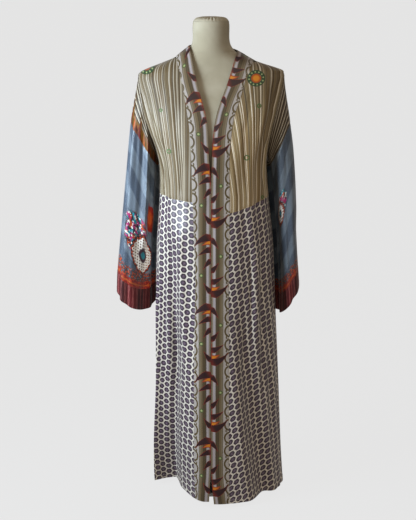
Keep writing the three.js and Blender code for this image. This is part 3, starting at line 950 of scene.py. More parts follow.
@dataclass(frozen=True)
class Neckband:
    """The band along both front edges and behind the neck."""

    body: Body
    thickness: float = 2.2
    gap: float = 0.5
    columns: int = 14
    skirt_rows: int = 180
    bodice_rows: int = 84
    back_columns: int = 90
    crown: float = 0.8
    repeat_shift: float = 23
    ripples: Rows = ((0.35, 17, 0), (0.25, 41, 2), (0.2, 9, 1))
    cut_front: Cut = Cut((0.052, 1.3))
    cut_back: Cut = Cut((0.052, 0.3), None, "draped", ("form_neck", "form_torso"))

    def heights(self, side: Side) -> Array:
        """The heights of the rows at the outer seam, from the hem to the shoulder.

        Args:
            side: the front's side.

        Returns:
            The heights.
        """
        angle = self.body.band_angle(side)
        hem, waist = float(HEM.at("z", angle)), float(self.body.waist(angle))
        low = np.linspace(hem, waist, self.skirt_rows + 1)
        top = self.body.bodice_top(side)
        high = lerp(waist, top, rise_of(np.linspace(0, 1, self.bodice_rows + 1)))
        end = np.linspace(top, self.body.band_top[side.word + "Out"], 3)
        return np.concatenate([low, high[1:], end[1:]])

    def params(self, side: Side) -> tuple[Array, Array]:
        """The angles and heights of one front's points, from its inner to its outer edge.

        Args:
            side: the front's side.

        Returns:
            The angles, then the heights.
        """
        outer_z = self.heights(side)[:, None]
        end_in, end_out = (self.body.band_top[side.word + e] for e in ("In", "Out"))
        turned = np.clip((outer_z - self.body.band_turn) / (end_out - self.body.band_turn), 0, 1)
        inner_z = np.where(turned > 0, lerp(self.body.band_turn, end_in, turned), outer_z)
        inner = self.body.edge(side, "In", inner_z, self.gap)
        outer = self.body.edge(side, "Out", outer_z)
        outer[-1:] = side.value * self.body.front_side(outer_z[-1:])
        share = shares(self.columns)
        return lerp(inner, outer, share), lerp(inner_z, outer_z, share)

    def crowned(self, points: Array, normals: Array, share: Array, along: Array) -> Array:
        """The band stands a little proud of its edges and ripples slightly along its length.

        Args:
            points: the band's points.
            normals: their normals.
            share: how far across the band they lie.
            along: how far along it they lie.

        Returns:
            The moved points.
        """
        ripple = sum(depth * np.sin(along / reach + phase) for depth, reach, phase in self.ripples)
        profile = np.sin(np.pi * np.clip(share, 0, 1))
        return points + normals * (profile * (self.crown + ripple))[..., None]

    def front(self, side: Side) -> tuple[Grid, float]:
        """The grid of one front's band, and its length in millimetres.

        Args:
            side: the front's side.

        Returns:
            The grid, then the length.
        """
        angle, z = self.params(side)
        points, normals = self.body.point(angle, z), self.body.normal(angle, z)
        across, along = run(points, 1), run(points, 0)
        along = np.broadcast_to(along[:, self.columns // 2][:, None], across.shape)
        share = shares(self.columns) + 0 * across
        points = self.crowned(points, normals, share, along)
        length = float(along[-1, 0])
        way = along if side is Side.LEFT else self.repeat_shift - along
        pattern = np.stack([across, way], -1) * MM
        return Grid(points, normals, pattern, pattern), length

    def back(self, start: float) -> Grid:
        """The grid of the band behind the neck.

        Args:
            start: the length of the right front's band, where the pattern goes on.

        Returns:
            The grid.
        """
        guess = np.linspace(90, 270, self.back_columns + 1)[None, :]
        v = shares(self.columns).T
        z = lerp(self.body.neck("Out", guess), self.body.neck("In", guess), v)
        side = self.body.back_side(z)
        angle = lerp(side, 360 - side, (guess - 90) / 180)
        points, normals = self.body.point(angle, z), self.body.normal(angle, z)
        up = run(points, 0)
        along = np.broadcast_to(run(points, 1)[self.columns // 2][None, :], up.shape)
        points = self.crowned(points, normals, v + 0 * up, along)
        pattern = np.stack([up[-1:] - up, self.repeat_shift - start - along], -1) * MM
        return Grid(points, normals, pattern, pattern)

    def build(self, silk: Material) -> None:
        """Builds the band's three lengths of printed silk.

        Args:
            silk: the band's finish.
        """
        cloth, length = Cloth(silk, Slot.BAND, self.thickness), 0.0
        for side in Side:
            grid, length = self.front(side)
            cloth.hang(f"band_{side.word}", f"band_front_{side.word}", grid, self.cut_front)
        cloth.hang("band_back", "band_back", self.back(length), self.cut_back)


@dataclass(frozen=True)
class Sleeve:
    """One sleeve: a striped top, a long grey part and a wine-coloured cuff."""

    body: Body
    side: Side
    thickness: float = 0.9
    cuff_thickness: float = 1.6
    length: float = 640
    seam: float = 0.215
    cuff: float = 0.9
    square: float = 2.3
    gap: float = 0.8
    columns: int = 124
    rows: tuple[int, int, int] = (30, 84, 16)
    free: float = 0.14
    gap_end: float = 0.1
    fade: float = 4
    seam_depth: float = 0.8
    pucker: float = 0.9
    pucker_reach: float = 26
    pucker_start: float = 60
    pucker_waves: Rows = ((17, 1, 0), (29, 0.7, 60))

    def armhole(self, around: Array) -> Array:
        """Points of the armhole's edge: 0 is the shoulder tip and 180 the underarm.

        Args:
            around: angles round the armhole, in degrees.

        Returns:
            The points.
        """
        share = (1 + np.cos(np.radians(around))) / 2
        z = lerp(self.body.underarm, self.body.shoulder, share)
        angle = np.where(around % 360 < 180, self.body.front_side(z), self.body.back_side(z))
        return self.body.point(self.side.value * angle, z)

    def point(self, around: Array, share: Array) -> Array:
        """The sleeve's surface: 0 degrees is outside, 90 the front and 180 inside.

        Args:
            around: angle round the sleeve, in degrees.
            share: how far down the sleeve, from 0 to 1.

        Returns:
            The point or points.
        """
        table = SLEEVES[self.side]
        power = 2 / self.square
        cosine, sine = np.cos(np.radians(around)), np.sin(np.radians(around))
        out, forward = rounded(cosine, power), rounded(sine, power)
        depth = np.where(forward > 0, table.at("front", share), table.at("back", share))
        push = 0.0
        for angle, width, deep, start in SLEEVE_FOLDS:
            away = turn(around, angle) / width
            push = push + deep * smooth((share - start) * self.fade) * np.exp(-away * away)
        for top, low, start, end, width, deep in SLEEVE_CREASES[self.side]:
            down = np.clip((share - start) / (end - start), 0, 1)
            away = turn(around, lerp(top, low, down)) / width
            faded = smooth(down * self.fade) * smooth((1 - down) * self.fade)
            push = push + deep * faded * np.exp(-away * away)
        x = lerp(table.at("ix", share), table.at("ox", share), (1 + out) / 2) - push * cosine
        y = -depth * forward + push * sine + table.at("skew", share) * (1 - out) / 2
        z = lerp(table.at("iz", share), table.at("oz", share), (1 + out) / 2)
        z = z - table.at("drop", share) * np.maximum(0, forward)
        hung = np.stack([self.side.value * x, y, z], -1)
        free = smooth(np.asarray(share) / self.free)[..., None]
        edge = self.armhole(around)
        outwards = (self.gap * (1 - smooth(np.asarray(share) / self.gap_end)))[..., None]
        return lerp(edge, hung, free) + outwards * np.array([self.side.value, 0, 0])

    def whole(self) -> tuple[Grid, list[int]]:
        """The grid of the whole sleeve, and the rows at which its parts begin and end.

        Returns:
            The grid, then the rows.
        """
        stops = (0, self.seam, self.cuff, 1)
        shares = [np.linspace(stops[n], stops[n + 1], self.rows[n] + 1) for n in range(3)]
        share = np.concatenate([shares[0], shares[1][1:], shares[2][1:]])[:, None]
        around = np.linspace(0, 360, self.columns + 1)[None, :]
        around, share = (a + 0 * b for a, b in ((around, share), (share, around)))
        points = self.point(around, share)
        normals = normals_of(self.point, around, share, (1.0, 0.003))
        down = share * self.length
        near = [np.exp(-(((share - s) * self.length / SEAM_REACH) ** 2)) for s in (self.seam, self.cuff)]
        pucker = waves(around, self.pucker_waves) * np.exp(-down / self.pucker_reach)
        pucker = self.pucker * pucker * smooth(share * self.pucker_start)
        offset = -self.seam_depth * (near[0] + near[1]) - pucker
        outward = normals * np.sign(np.sum(normals * self.outside(around), -1))[..., None]
        points = points + outward * offset[..., None]
        pattern = np.stack([run(points, 1), down], -1) * MM
        marks = np.cumsum((0,) + self.rows).tolist()
        return Grid(points, outward, pattern, pattern, True), marks

    def outside(self, around: Array) -> Array:
        """Rough outward directions round the sleeve."""
        radians = np.radians(around)
        return np.stack([self.side.value * np.cos(radians), -np.sin(radians), 0 * radians], -1)

    def build(self, striped: Material, grey: Material, wine: Material) -> None:
        """Builds the sleeve's three parts.

        Args:
            striped: the finish of the top.
            grey: the finish of the long part.
            wine: the finish of the cuff.
        """
        whole, marks = self.whole()
        word = self.side.word
        parts = (
            ("sleeve_top", Cloth(striped, Slot.STRIPED, self.thickness), (0.38, 0.14), 0.033, "bodice"),
            ("sleeve", Cloth(grey, Slot.GREY, self.thickness), (0.46, 0.45), 0.18, "sleeve_top"),
            ("cuff", Cloth(wine, Slot.WINE, self.cuff_thickness), (0.47, 0.07), 0.028, "sleeve"),
        )
        for n, (name, cloth, flat, area, above) in enumerate(parts):
            cut = Cut(flat, area, "hung", (f"kimono_{above}_{word}",))
            cloth.hang(f"{name}_{word}", f"{name}_{word}", whole.rows(marks[n], marks[n + 1]), cut)


# Dress form and stand


@dataclass(frozen=True)
class DressForm:
    """The limbless form under the garment: torso, neck and gathered cap."""

    points: int = 120
    step: float = 5
    end_share: float = 0.97
    end_rise: float = 0.1
    gathers: int = 26
    gather_columns: int = 8
    gather_sway: float = 0.35
    gather_power: float = 1.5
    gather_middle: float = 0.6
    gather_height: float = 2.4
    torso: Table = field(default_factory=lambda: Table("z half front back square", [
        (620, 138, 90, 98, 2.2),
        (634, 146, 98, 108, 2.2),
        (690, 151, 104, 116, 2.2),
        (760, 147, 104, 112, 2.2),
        (840, 130, 95, 92, 2.2),
        (915, 115, 86, 76, 2.2),
        (990, 124, 98, 86, 2.2),
        (1050, 136, 116, 94, 2.3),
        (1080, 142, 118, 97, 2.3),
        (1120, 150, 112, 101, 2.4),
        (1170, 165, 97, 100, 2.4),
        (1215, 180, 79, 88, 2.3),
        (1243, 187, 66, 74, 2.2),
        (1256, 187, 62, 69, 2.2),
        (1264.5, 179, 60, 66, 2.2),
        (1287.5, 132, 57, 61, 2.1),
        (1299, 104, 56, 59, 2.1),
        (1309, 88, 55, 58, 2),
        (1319.6, 70, 54, 56, 2),
    ]))
    neck: Table = field(default_factory=lambda: Table("z half front back square", [
        (1319.8, 69.5, 54, 56, 2),
        (1328, 62, 53.5, 55, 2),
        (1340, 55, 53, 54, 2),
        (1356, 52, 52, 52, 2),
        (1392, 52, 52, 52, 2),
        (1403.6, 50.5, 50.5, 50.5, 2),
    ]))
    cap: Rows = (
        (1404, 50, 0), (1406.5, 49, 0.15), (1409.5, 46.5, 0.5), (1412, 43, 0.9), (1413.6, 39, 1.1),
        (1414.6, 34, 1.15), (1415.4, 28, 1), (1416.1, 22, 0.8), (1416.7, 15, 0.55), (1417.2, 9, 0.3),
    )

    def ring(self, table: Table, z: float) -> Array:
        """One level of the form's surface.

        Args:
            table: the torso's or the neck's levels.
            z: height.

        Returns:
            The points.
        """
        angle = np.linspace(0, 2 * np.pi, self.points, endpoint=False)
        sine, cosine = np.sin(angle), np.cos(angle)
        power = 2 / table.at("square", z)
        depth = np.where(cosine > 0, table.at("front", z), table.at("back", z))
        x = table.at("half", z) * rounded(sine, power)
        return np.stack([x, -depth * rounded(cosine, power), 0 * x + z], -1)

    def lofted(self, name: str, rings: Sequence[Array]) -> bpy.types.Object:
        """A closed solid through rings of equal length, with a fan over each end.

        Args:
            name: the object's name.
            rings: its levels, upwards.

        Returns:
            The new object.
        """
        count = len(rings[0])
        positions = np.concatenate([*rings, rings[0].mean(0)[None], rings[-1].mean(0)[None]])
        faces = []
        j = np.arange(count)
        following = (j + 1) % count
        for i in range(len(rings) - 1):
            a, b = i * count + j, i * count + following
            faces.append(np.stack([a, b, b + count, a + count], 1))
        last = (len(rings) - 1) * count
        hub = len(rings) * count
        faces.append(np.stack([following, j, 0 * j + hub, 0 * j + hub], 1))
        faces.append(np.stack([last + j, last + following, 0 * j + hub + 1, 0 * j + hub + 1], 1))
        return solid(name, positions * MM, np.concatenate(faces), {})

    def levels(self, table: Table) -> list[Array]:
        """Rings at even steps between a table's first and last heights, and at its rounded ends.

        Args:
            table: the torso's or the neck's levels.

        Returns:
            The rings, upwards.
        """
        low, high = table.rows[0, 0], table.rows[-1, 0]
        heights = np.linspace(low, high, max(3, round((high - low) / self.step)) + 1)
        rings = [self.ring(table, float(z)) for z in heights]
        ends = []
        for ring, way in ((rings[0], -1), (rings[-1], 1)):
            middle = ring.mean(0)
            inner = middle + (ring - middle) * self.end_share
            inner[:, 2] = ring[:, 2] + way * self.end_rise
            ends.append(inner)
        return [ends[0], *rings, ends[1]]

    def gathered(self) -> list[Array]:
        """The rings of the cap, whose cloth is gathered towards the middle.

        Returns:
            The rings, upwards.
        """
        count = self.gathers * self.gather_columns
        angle = np.linspace(0, 2 * np.pi, count, endpoint=False)
        uneven = 1 + 0.35 * np.sin(angle * 5 + 1) + 0.2 * np.sin(angle * 11)
        rings = []
        for z, radius, gather in self.cap:
            sway = self.gather_sway * np.sin(angle * 3)
            fold = np.abs(np.cos(self.gathers * angle / 2 + sway)) ** self.gather_power
            lift = gather * (fold - self.gather_middle) * uneven * self.gather_height
            rings.append(np.stack([radius * np.sin(angle), -radius * np.cos(angle), z + lift], -1))
        return rings

    def build(self, linen: Material) -> None:
        """Builds the form and its linen cover.

        Args:
            linen: the cover's finish.
        """
        parts = (
            ("dress_form_torso", self.levels(self.torso), "form_torso"),
            ("dress_form_neck", self.levels(self.neck), "form_neck"),
            ("dress_form_cap", self.gathered(), "form_cap"),
        )
        for name, rings, node in parts:
            hand_in(self.lofted(name, rings), linen, Slot.LINEN, node)


@dataclass(frozen=True)
class Stand:
    """The pole and the round base."""

    segments: int = 96
    pole: Rows = (
        (12.5, 40.4), (13.6, 40.8), (14, 42), (14, 300), (14, 600), (14, 618), (13.6, 619.2), (12.5, 619.6),
    )
    base: Rows = (
        (86.5, 0), (87.6, 0.5), (88, 1.6), (88, 10), (87.5, 11.4), (86, 12), (60, 12.9), (30, 13.8),
        (26, 14), (24, 15), (22.6, 17), (22, 20), (20.6, 38), (20.2, 39.4), (19.2, 40),
    )

    def turned(self, name: str, profile: Sequence[Pair]) -> bpy.types.Object:
        """A closed solid turned round the vertical axis.

        Args:
            name: the object's name.
            profile: radius and height of each ring, upwards.

        Returns:
            The new object.
        """
        angle = np.linspace(0, 2 * np.pi, self.segments, endpoint=False)
        rings = [
            np.stack([radius * np.sin(angle), -radius * np.cos(angle), 0 * angle + z], -1)
            for radius, z in profile
        ]
        return DressForm().lofted(name, rings)

    def build(self, painted: Material) -> None:
        """Builds the painted pole and base."""
        hand_in(self.turned("stand_tube", self.pole), painted, Slot.PAINTED, "stand_pole")
        hand_in(self.turned("stand_disc", self.base), painted, Slot.PAINTED, "stand_base")


# Stitches


@dataclass(frozen=True)
class Stitching:
    """Rows of machine stitches along the band, the hem and the cuffs."""

    body: Body
    pitch: float = 4
    length: float = 2.8
    radius: float = 0.32
    seed: int = 7
    shortest: float = 0.85
    longest: float = 1.1
    beside_band: float = 0.35
    beside_hem: float = 0.1
    band_share: float = 0.75
    hem_row: int = 3
    cuff_row: int = 2

    def tree(self, thread: Material) -> bpy.types.NodeTree:
        """The node tree that sets a stitch at each step of a curve.

        Args:
            thread: the stitches' finish.

        Returns:
            The tree, with the sizes as its inputs.
        """
        tree = bpy.data.node_groups.new("stitches_along", "GeometryNodeTree")
        tree.interface.new_socket("Geometry", in_out="INPUT", socket_type="NodeSocketGeometry")
        for name in ("Pitch", "Length", "Radius"):
            tree.interface.new_socket(name, in_out="INPUT", socket_type="NodeSocketFloat")
        tree.interface.new_socket("Seed", in_out="INPUT", socket_type="NodeSocketInt")
        tree.interface.new_socket("Geometry", in_out="OUTPUT", socket_type="NodeSocketGeometry")

        def add(kind: str, **settings: object) -> bpy.types.Node:
            """Adds a node and its settings.

            Args:
                kind: the node's type.
                settings: its attributes.

            Returns:
                The node.
            """
            node = tree.nodes.new(kind)
            for key, value in settings.items():
                setattr(node, key, value)
            return node

        given, result = add("NodeGroupInput"), add("NodeGroupOutput")
        resampled = add("GeometryNodeResampleCurve", mode="LENGTH")
        placed = add("GeometryNodeInstanceOnPoints")
        bead = add("GeometryNodeMeshUVSphere")
        tangent = add("GeometryNodeInputTangent")
        aligned = add("FunctionNodeAlignRotationToVector", axis="Z")
        sized = add("ShaderNodeCombineXYZ")
        halved, scaled = (add("ShaderNodeMath", operation="MULTIPLY") for _ in range(2))
        varied = add("FunctionNodeRandomValue", data_type="FLOAT")
        realized = add("GeometryNodeRealizeInstances")
        painted = add("GeometryNodeSetMaterial")
        for node, socket, value in (
            (bead, "Segments", 6), (bead, "Rings", 4), (bead, "Radius", 1), (halved, 1, 0.5),
            (varied, 2, self.shortest), (varied, 3, self.longest), (painted, "Material", thread),
        ):
            node.inputs[socket].default_value = value
        for source, output, target, socket in (
            (given, "Geometry", resampled, "Curve"),
            (given, "Pitch", resampled, "Length"),
            (resampled, "Curve", placed, "Points"),
            (bead, "Mesh", placed, "Instance"),
            (tangent, "Tangent", aligned, "Vector"),
            (aligned, "Rotation", placed, "Rotation"),
            (given, "Length", halved, 0),
            (given, "Seed", varied, "Seed"),
            (halved, 0, scaled, 0),
            (varied, 1, scaled, 1),
            (given, "Radius", sized, "X"),
            (given, "Radius", sized, "Y"),
            (scaled, 0, sized, "Z"),
            (sized, 0, placed, "Scale"),
            (placed, "Instances", realized, "Geometry"),
            (realized, "Geometry", painted, "Geometry"),
            (painted, "Geometry", result, "Geometry"),
        ):
            tree.links.new(source.outputs[output], target.inputs[socket])
        return tree

    def sewn(
        self,
        name: str,
        lines: Sequence[Array],
        tree: bpy.types.NodeTree,
        thread: Material,
        slot: Slot,
    ) -> None:
        """Bakes the stitches of several seams into one mesh.

        Args:
            name: the object's name.
            lines: the seams' points in millimetres.
            tree: the tree from tree().
            thread: the stitches' finish.
            slot: the record's slot nearest to the thread.
        """
        curve = bpy.data.curves.new(name + "_path", "CURVE")
        curve.dimensions = "3D"
        for line in lines:
            spline = curve.splines.new("POLY")
            spline.points.add(len(line) - 1)
            flat = np.concatenate([line * MM, np.ones((len(line), 1))], 1)
            spline.points.foreach_set("co", flat.ravel())
        path = bpy.data.objects.new(name + "_path", curve)
        bpy.context.scene.collection.objects.link(path)
        modifier = path.modifiers.new("stitches", "NODES")
        modifier.node_group = tree
        sizes = {"Pitch": self.pitch, "Length": self.length, "Radius": self.radius}
        sizes = {**{name: size * MM for name, size in sizes.items()}, "Seed": self.seed}
        for socket in tree.interface.items_tree:
            if socket.in_out == "INPUT" and socket.name in sizes:
                modifier[socket.identifier] = sizes[socket.name]
        bpy.context.view_layer.update()
        graph = bpy.context.evaluated_depsgraph_get()
        mesh = bpy.data.meshes.new_from_object(path.evaluated_get(graph))
        mesh.name = name
        path.modifiers.remove(modifier)
        bpy.data.objects.remove(path)
        piece = bpy.data.objects.new(name, mesh)
        bpy.context.scene.collection.objects.link(piece)
        mesh.shade_smooth()
        hand_in(piece, thread, slot)

    def band_line(self, band: Neckband, side: Side) -> Array:
        """The stitched line beside the band's outer seam."""
        line = [lerp(values[:, -1], values[:, -2], self.band_share) for values in band.params(side)]
        return self.body.point(*line) + self.body.normal(*line) * (band.thickness / 2 + self.beside_band)

    def row_line(self, grid: Grid, row: int, thickness: float) -> Array:
        """A stitched line along one row of a panel."""
        return grid.points[row] + grid.normals[row] * (thickness / 2 + self.beside_hem)

    def hem_line(self, grid: Grid, thickness: float) -> Array:
        """The stitched line above a skirt panel's hem."""
        return self.row_line(grid, self.hem_row, thickness)

    def cuff_line(self, sleeve: Sleeve) -> Array:
        """The stitched line above a cuff's lower edge."""
        whole, marks = sleeve.whole()
        return self.row_line(whole, marks[-1] - self.cuff_row, sleeve.cuff_thickness)


# Shader building


def paint(red: float, green: float, blue: float) -> Colour:
    """A colour as it looks in full light, from 0 to 255, as the shaders take it.

    Args:
        red: the red channel.
        green: the green channel.
        blue: the blue channel.

    Returns:
        The colour as linear channels.
    """
    def linear(value: float) -> float:
        """One channel without the display curve."""
        share = value / 255
        return REFLECTED * (share / 12.92 if share <= 0.04045 else ((share + 0.055) / 1.055) ** 2.4)
    return (linear(red), linear(green), linear(blue), 1.0)


def math_method(operation: str, reflected: bool = False) -> "Callable[..., Value]":
    """Makes a method of Value that adds one Math node.

    Args:
        operation: the node's operation.
        reflected: whether the value comes last.

    Returns:
        The method.
    """
    def method(value: "Value", *others: "Value | float") -> "Value":
        """A Math node on the value and the others."""
        return value.shader.sum(operation, *((*others, value) if reflected else (value, *others)))
    return method


class Value:
    """A number in a shader, with which sums can be written as usual.

    least and most give the smaller and the larger of two, and below gives 1 where the value is the smaller.
    """

    def __init__(self, shader: "Shader", socket: Socket) -> None:
        """Wraps an output socket."""
        self.shader, self.socket = shader, socket

    __add__ = __radd__ = math_method("ADD")
    __mul__ = __rmul__ = math_method("MULTIPLY")
    __sub__ = math_method("SUBTRACT")
    __rsub__ = math_method("SUBTRACT", True)
    __truediv__ = math_method("DIVIDE")
    __rtruediv__ = math_method("DIVIDE", True)
    __pow__ = math_method("POWER")
    __abs__ = math_method("ABSOLUTE")
    least = math_method("MINIMUM")
    most = math_method("MAXIMUM")
    below = math_method("LESS_THAN")
    wave = math_method("SINE")
    root = math_method("SQRT")

    def within(self, period: float, start: float = 0) -> "Value":
        """The value wrapped into one period from a start."""
        return self.shader.sum("WRAP", self, start + period, start)

    def from_line(self, period: float, shift: float = 0) -> "Value":
        """The distance from the nearest of evenly spaced lines."""
        return abs((self + shift).within(period, -period / 2))

    def step(self, low: float, high: float) -> "Value":
        """A smooth rise from 0 at low to 1 at high, or a fall where low is the larger.

        Args:
            low: where it is 0.
            high: where it is 1.

        Returns:
            The share, held outside them.
        """
        node = self.shader.node(
            "ShaderNodeMapRange", {"interpolation_type": "SMOOTHSTEP"},
            {0: self, 1: min(low, high), 2: max(low, high), 3: float(low > high), 4: float(low < high)},
        )
        return Value(self.shader, node.outputs[0])


Paint = Union[Colour, Socket]


@dataclass(frozen=True)
class Surface:
    """What a silk has under its print: soft clouds, threads, relief and gloss.

    The clouds light the print from `least` up by `more` and roughen it from `smoothest` up by `rougher`.
    """

    clouds: float
    detail: float
    least: float
    more: float
    smoothest: float
    rougher: float
    threads: float
    along: float
    down: float
    relief: float
    specular: float
    sheen: float = 0.05


class Shader:
    """One material's node tree, with short ways to add to it."""

    def __init__(self, name: str) -> None:
        """Makes an empty material of that name.

        Args:
            name: the material's name.
        """
        self.material = bpy.data.materials.new(name)
        self.material.use_nodes = True
        self.tree = self.material.node_tree
        self.tree.nodes.clear()

    def node(
        self, kind: str, settings: dict[str, object] | None = None, inputs: dict[object, object] | None = None
    ) -> bpy.types.Node:
        """Adds a node.

        Args:
            kind: its type.
            settings: attributes that are set first, or a ramp's stops.
            inputs: values, colours or links by socket name or number.

        Returns:
            The node.
        """
        node = self.tree.nodes.new(kind)
        for key, value in (settings or {}).items():
            if key == "stops":
                self._stops(node.color_ramp, value)
            else:
                setattr(node, key, value)
        for key, value in (inputs or {}).items():
            socket = node.inputs[key]
            if isinstance(value, Value):
                self.tree.links.new(value.socket, socket)
            elif isinstance(value, Socket):
                self.tree.links.new(value, socket)
            else:
                socket.default_value = value
        return node

    @staticmethod
    def _stops(ramp: bpy.types.ColorRamp, stops: Sequence[tuple[float, Colour]]) -> None:
        """Sets the stops of a ramp.

        Args:
            ramp: the ramp.
            stops: places and colours, in order.
        """
        while len(ramp.elements) > 1:
            ramp.elements.remove(ramp.elements[-1])
        ramp.elements[0].position, ramp.elements[0].color = stops[0]
        for position, colour in stops[1:]:
            ramp.elements.new(position).color = colour

    def sum(self, operation: str, *values: "Value | float") -> Value:
        """A Math node on two or three values."""
        node = self.node("ShaderNodeMath", {"operation": operation}, dict(enumerate(values)))
        return Value(self, node.outputs[0])

    def map(self, name: str) -> tuple[Value, Value]:
        """The two coordinates of a UV map, in millimetres.

        Args:
            name: the map's name.

        Returns:
            The coordinates.
        """
        source = self.node("ShaderNodeUVMap", {"uv_map": name})
        parts = self.node("ShaderNodeSeparateXYZ", None, {0: source.outputs[0]})
        return Value(self, parts.outputs[0]) * 1000, Value(self, parts.outputs[1]) * 1000

    def place(self) -> tuple[Value, Value, Value]:
        """The object coordinates, in millimetres.

        Returns:
            The x, y and z coordinates.
        """
        source = self.node("ShaderNodeTexCoord")
        parts = self.node("ShaderNodeSeparateXYZ", None, {0: source.outputs["Object"]})
        x, y, z = (Value(self, parts.outputs[n]) * 1000 for n in range(3))
        return x, y, z

    def noise(self, scale: float, detail: float, *place: "Value | float") -> Value:
        """Cloudy noise round 0.5.

        Args:
            scale: how fine the noise is.
            detail: how many finer layers it has.
            place: the two or three coordinates it is read at.

        Returns:
            The noise.
        """
        vector = self.node("ShaderNodeCombineXYZ", None, dict(enumerate(place))).outputs[0]
        node = self.node("ShaderNodeTexNoise", None, {"Vector": vector, "Scale": scale, "Detail": detail})
        return Value(self, node.outputs[0])

    def mix(self, share: "Value | float", first: Paint, second: Paint) -> Socket:
        """Two colours mixed by a share of the second."""
        node = self.node("ShaderNodeMix", {"data_type": "RGBA"}, {0: share, 6: first, 7: second})
        return node.outputs[2]

    def ramp(self, value: Value, stops: Sequence[tuple[float, Colour]]) -> Socket:
        """A colour by a value from 0 to 1."""
        return self.node("ShaderNodeValToRGB", {"stops": stops}, {0: value}).outputs[0]

    def bright(self, colour: Paint, factor: Value) -> Socket:
        """A colour made lighter or darker by a factor.

        Args:
            colour: the colour.
            factor: what it is multiplied by.

        Returns:
            The new colour.
        """
        grey = self.node("ShaderNodeCombineColor", None, {0: factor, 1: factor, 2: factor}).outputs[0]
        return self.node(
            "ShaderNodeMix", {"data_type": "RGBA", "blend_type": "MULTIPLY"}, {0: 1.0, 6: colour, 7: grey}
        ).outputs[2]

    def finish(
        self,
        colour: Paint,
        roughness: "Value | float",
        height: Value | None = None,
        depth: float = 0.0002,
        fixed: dict[str, float] | None = None,
    ) -> Material:
        """Ends the tree in a surface.

        Args:
            colour: its colour.
            roughness: its roughness.
            height: the relief that bends its shading.
            depth: the relief's depth in metres.
            fixed: other constant values by socket.

        Returns:
            The material.
        """
        values: dict[object, object] = {"Base Color": colour, "Roughness": roughness, **(fixed or {})}
        if height is not None:
            bump = self.node("ShaderNodeBump", None, {"Strength": 1.0, "Distance": depth, "Height": height})
            values["Normal"] = bump.outputs[0]
        surface = self.node("ShaderNodeBsdfPrincipled", None, values)
        self.node("ShaderNodeOutputMaterial", None, {0: surface.outputs[0]})
        return self.material

    def silk(self, colour: Paint, u: Value, v: Value, surface: Surface) -> Material:
        """Ends the tree in a silk's surface.

        Args:
            colour: the print.
            u: the cloth's first coordinate.
            v: its second coordinate.
            surface: what the silk has under the print.

        Returns:
            The material.
        """
        cloud = self.noise(surface.clouds, surface.detail, u, v)
        colour = self.bright(colour, cloud * surface.more + surface.least)
        weave = self.noise(surface.threads, 2, u * surface.along, v * surface.down)
        roughness = cloud * surface.rougher + surface.smoothest
        fixed = {"Sheen Weight": surface.sheen, "Specular IOR Level": surface.specular}
        return self.finish(colour, roughness, weave, surface.relief, fixed)

    def ring(self, u: Value, v: Value, centre: Pair, radius: float, line: float) -> Value:
        """A circle's line as a mask.

        Args:
            u: the first coordinate.
            v: the second coordinate.
            centre: the circle's middle.
            radius: its radius.
            line: half the line's width.

        Returns:
            1 on the line.
        """
        away = ((u - centre[0]) ** 2 + (v - centre[1]) ** 2).root()
        return abs(away - radius).step(line + 0.5, line - 0.3)


@dataclass(frozen=True)
class Leaf:
    """A printed leaf: its base, tip, half width and bend."""

    base: Pair
    tip: Pair
    half: float
    bend: float

    def inside(self, u: Value, v: Value) -> tuple[Value, Value]:
        """How far inside the leaf a point lies, and its place from base to tip.

        Args:
            u: the first coordinate.
            v: the second coordinate.

        Returns:
            The distance, which is negative outside, and a share from 0 to 1.
        """
        du, dv = self.tip[0] - self.base[0], self.tip[1] - self.base[1]
        length = math.hypot(du, dv)
        c, s = du / length, dv / length
        a, b = u - self.base[0], v - self.base[1]
        share = (a * (c / length)) + (b * (s / length))
        hump = share * (1 - share) * 4
        off = abs(b * c - a * s - hump * self.bend)
        width = (1 - share) * (share * 3 + 0.4).least(1) * (1.5 * self.half)
        return width * share.step(-0.04, 0.04) - off, share


# Finishes


@dataclass(frozen=True)
class DottedSilk:
    """Silk printed with plum dots in a honeycomb of cream lines."""

    across: float = 18.2
    along: float = 18.9
    dot: float = 7.7
    outline: Colour = paint(226, 217, 206)
    plum: Colour = paint(68, 52, 72)
    rim: Colour = paint(36, 24, 34)
    mark: Colour = paint(132, 112, 130)
    rim_width: float = 3
    mark_radius: float = 4.6
    surface: Surface = Surface(0.012, 3, 0.89, 0.22, 0.31, 0.12, 0.9, 3, 1, 0.00025, 0.65)

    def cell(self, u: Value, v: Value) -> tuple[Value, Value]:
        """The offset from a lattice's nearest dot."""
        return u.within(2 * self.across, -self.across), v.within(self.along, -self.along / 2)

    def material(self) -> Material:
        """Builds the finish.

        Returns:
            The finish.
        """
        sh = Shader("dotted_silk_print")
        u, v = sh.map("print")
        wobble = sh.noise(0.05, 2, u, v) - 0.5
        u, v = u + wobble * 1.6, v + wobble * 1.2
        ax, ay = self.cell(u, v)
        bx, by = self.cell(u + self.across, v + self.along / 2)
        near = (ax * ax + ay * ay).below(bx * bx + by * by)
        x, y = abs(bx + (ax - bx) * near), abs(by + (ay - by) * near)
        away = (x * x + y * y).root()
        edge = y.most(x * 0.79 + y * 0.5) * 0.78 + away * 0.21
        inside = edge.step(self.dot + 0.5, self.dot - 0.5)
        rim = edge.step(self.dot - self.rim_width, self.dot - self.rim_width + 1.6)
        speck = sh.noise(0.45, 2, u, v)
        middle = away.step(self.mark_radius, self.mark_radius - 2.2) * speck.step(0.4, 0.6)
        colour = sh.mix(rim * 0.8, self.plum, self.rim)
        colour = sh.mix(middle, colour, self.mark)
        return sh.silk(sh.mix(inside, self.outline, colour), u, v, self.surface)


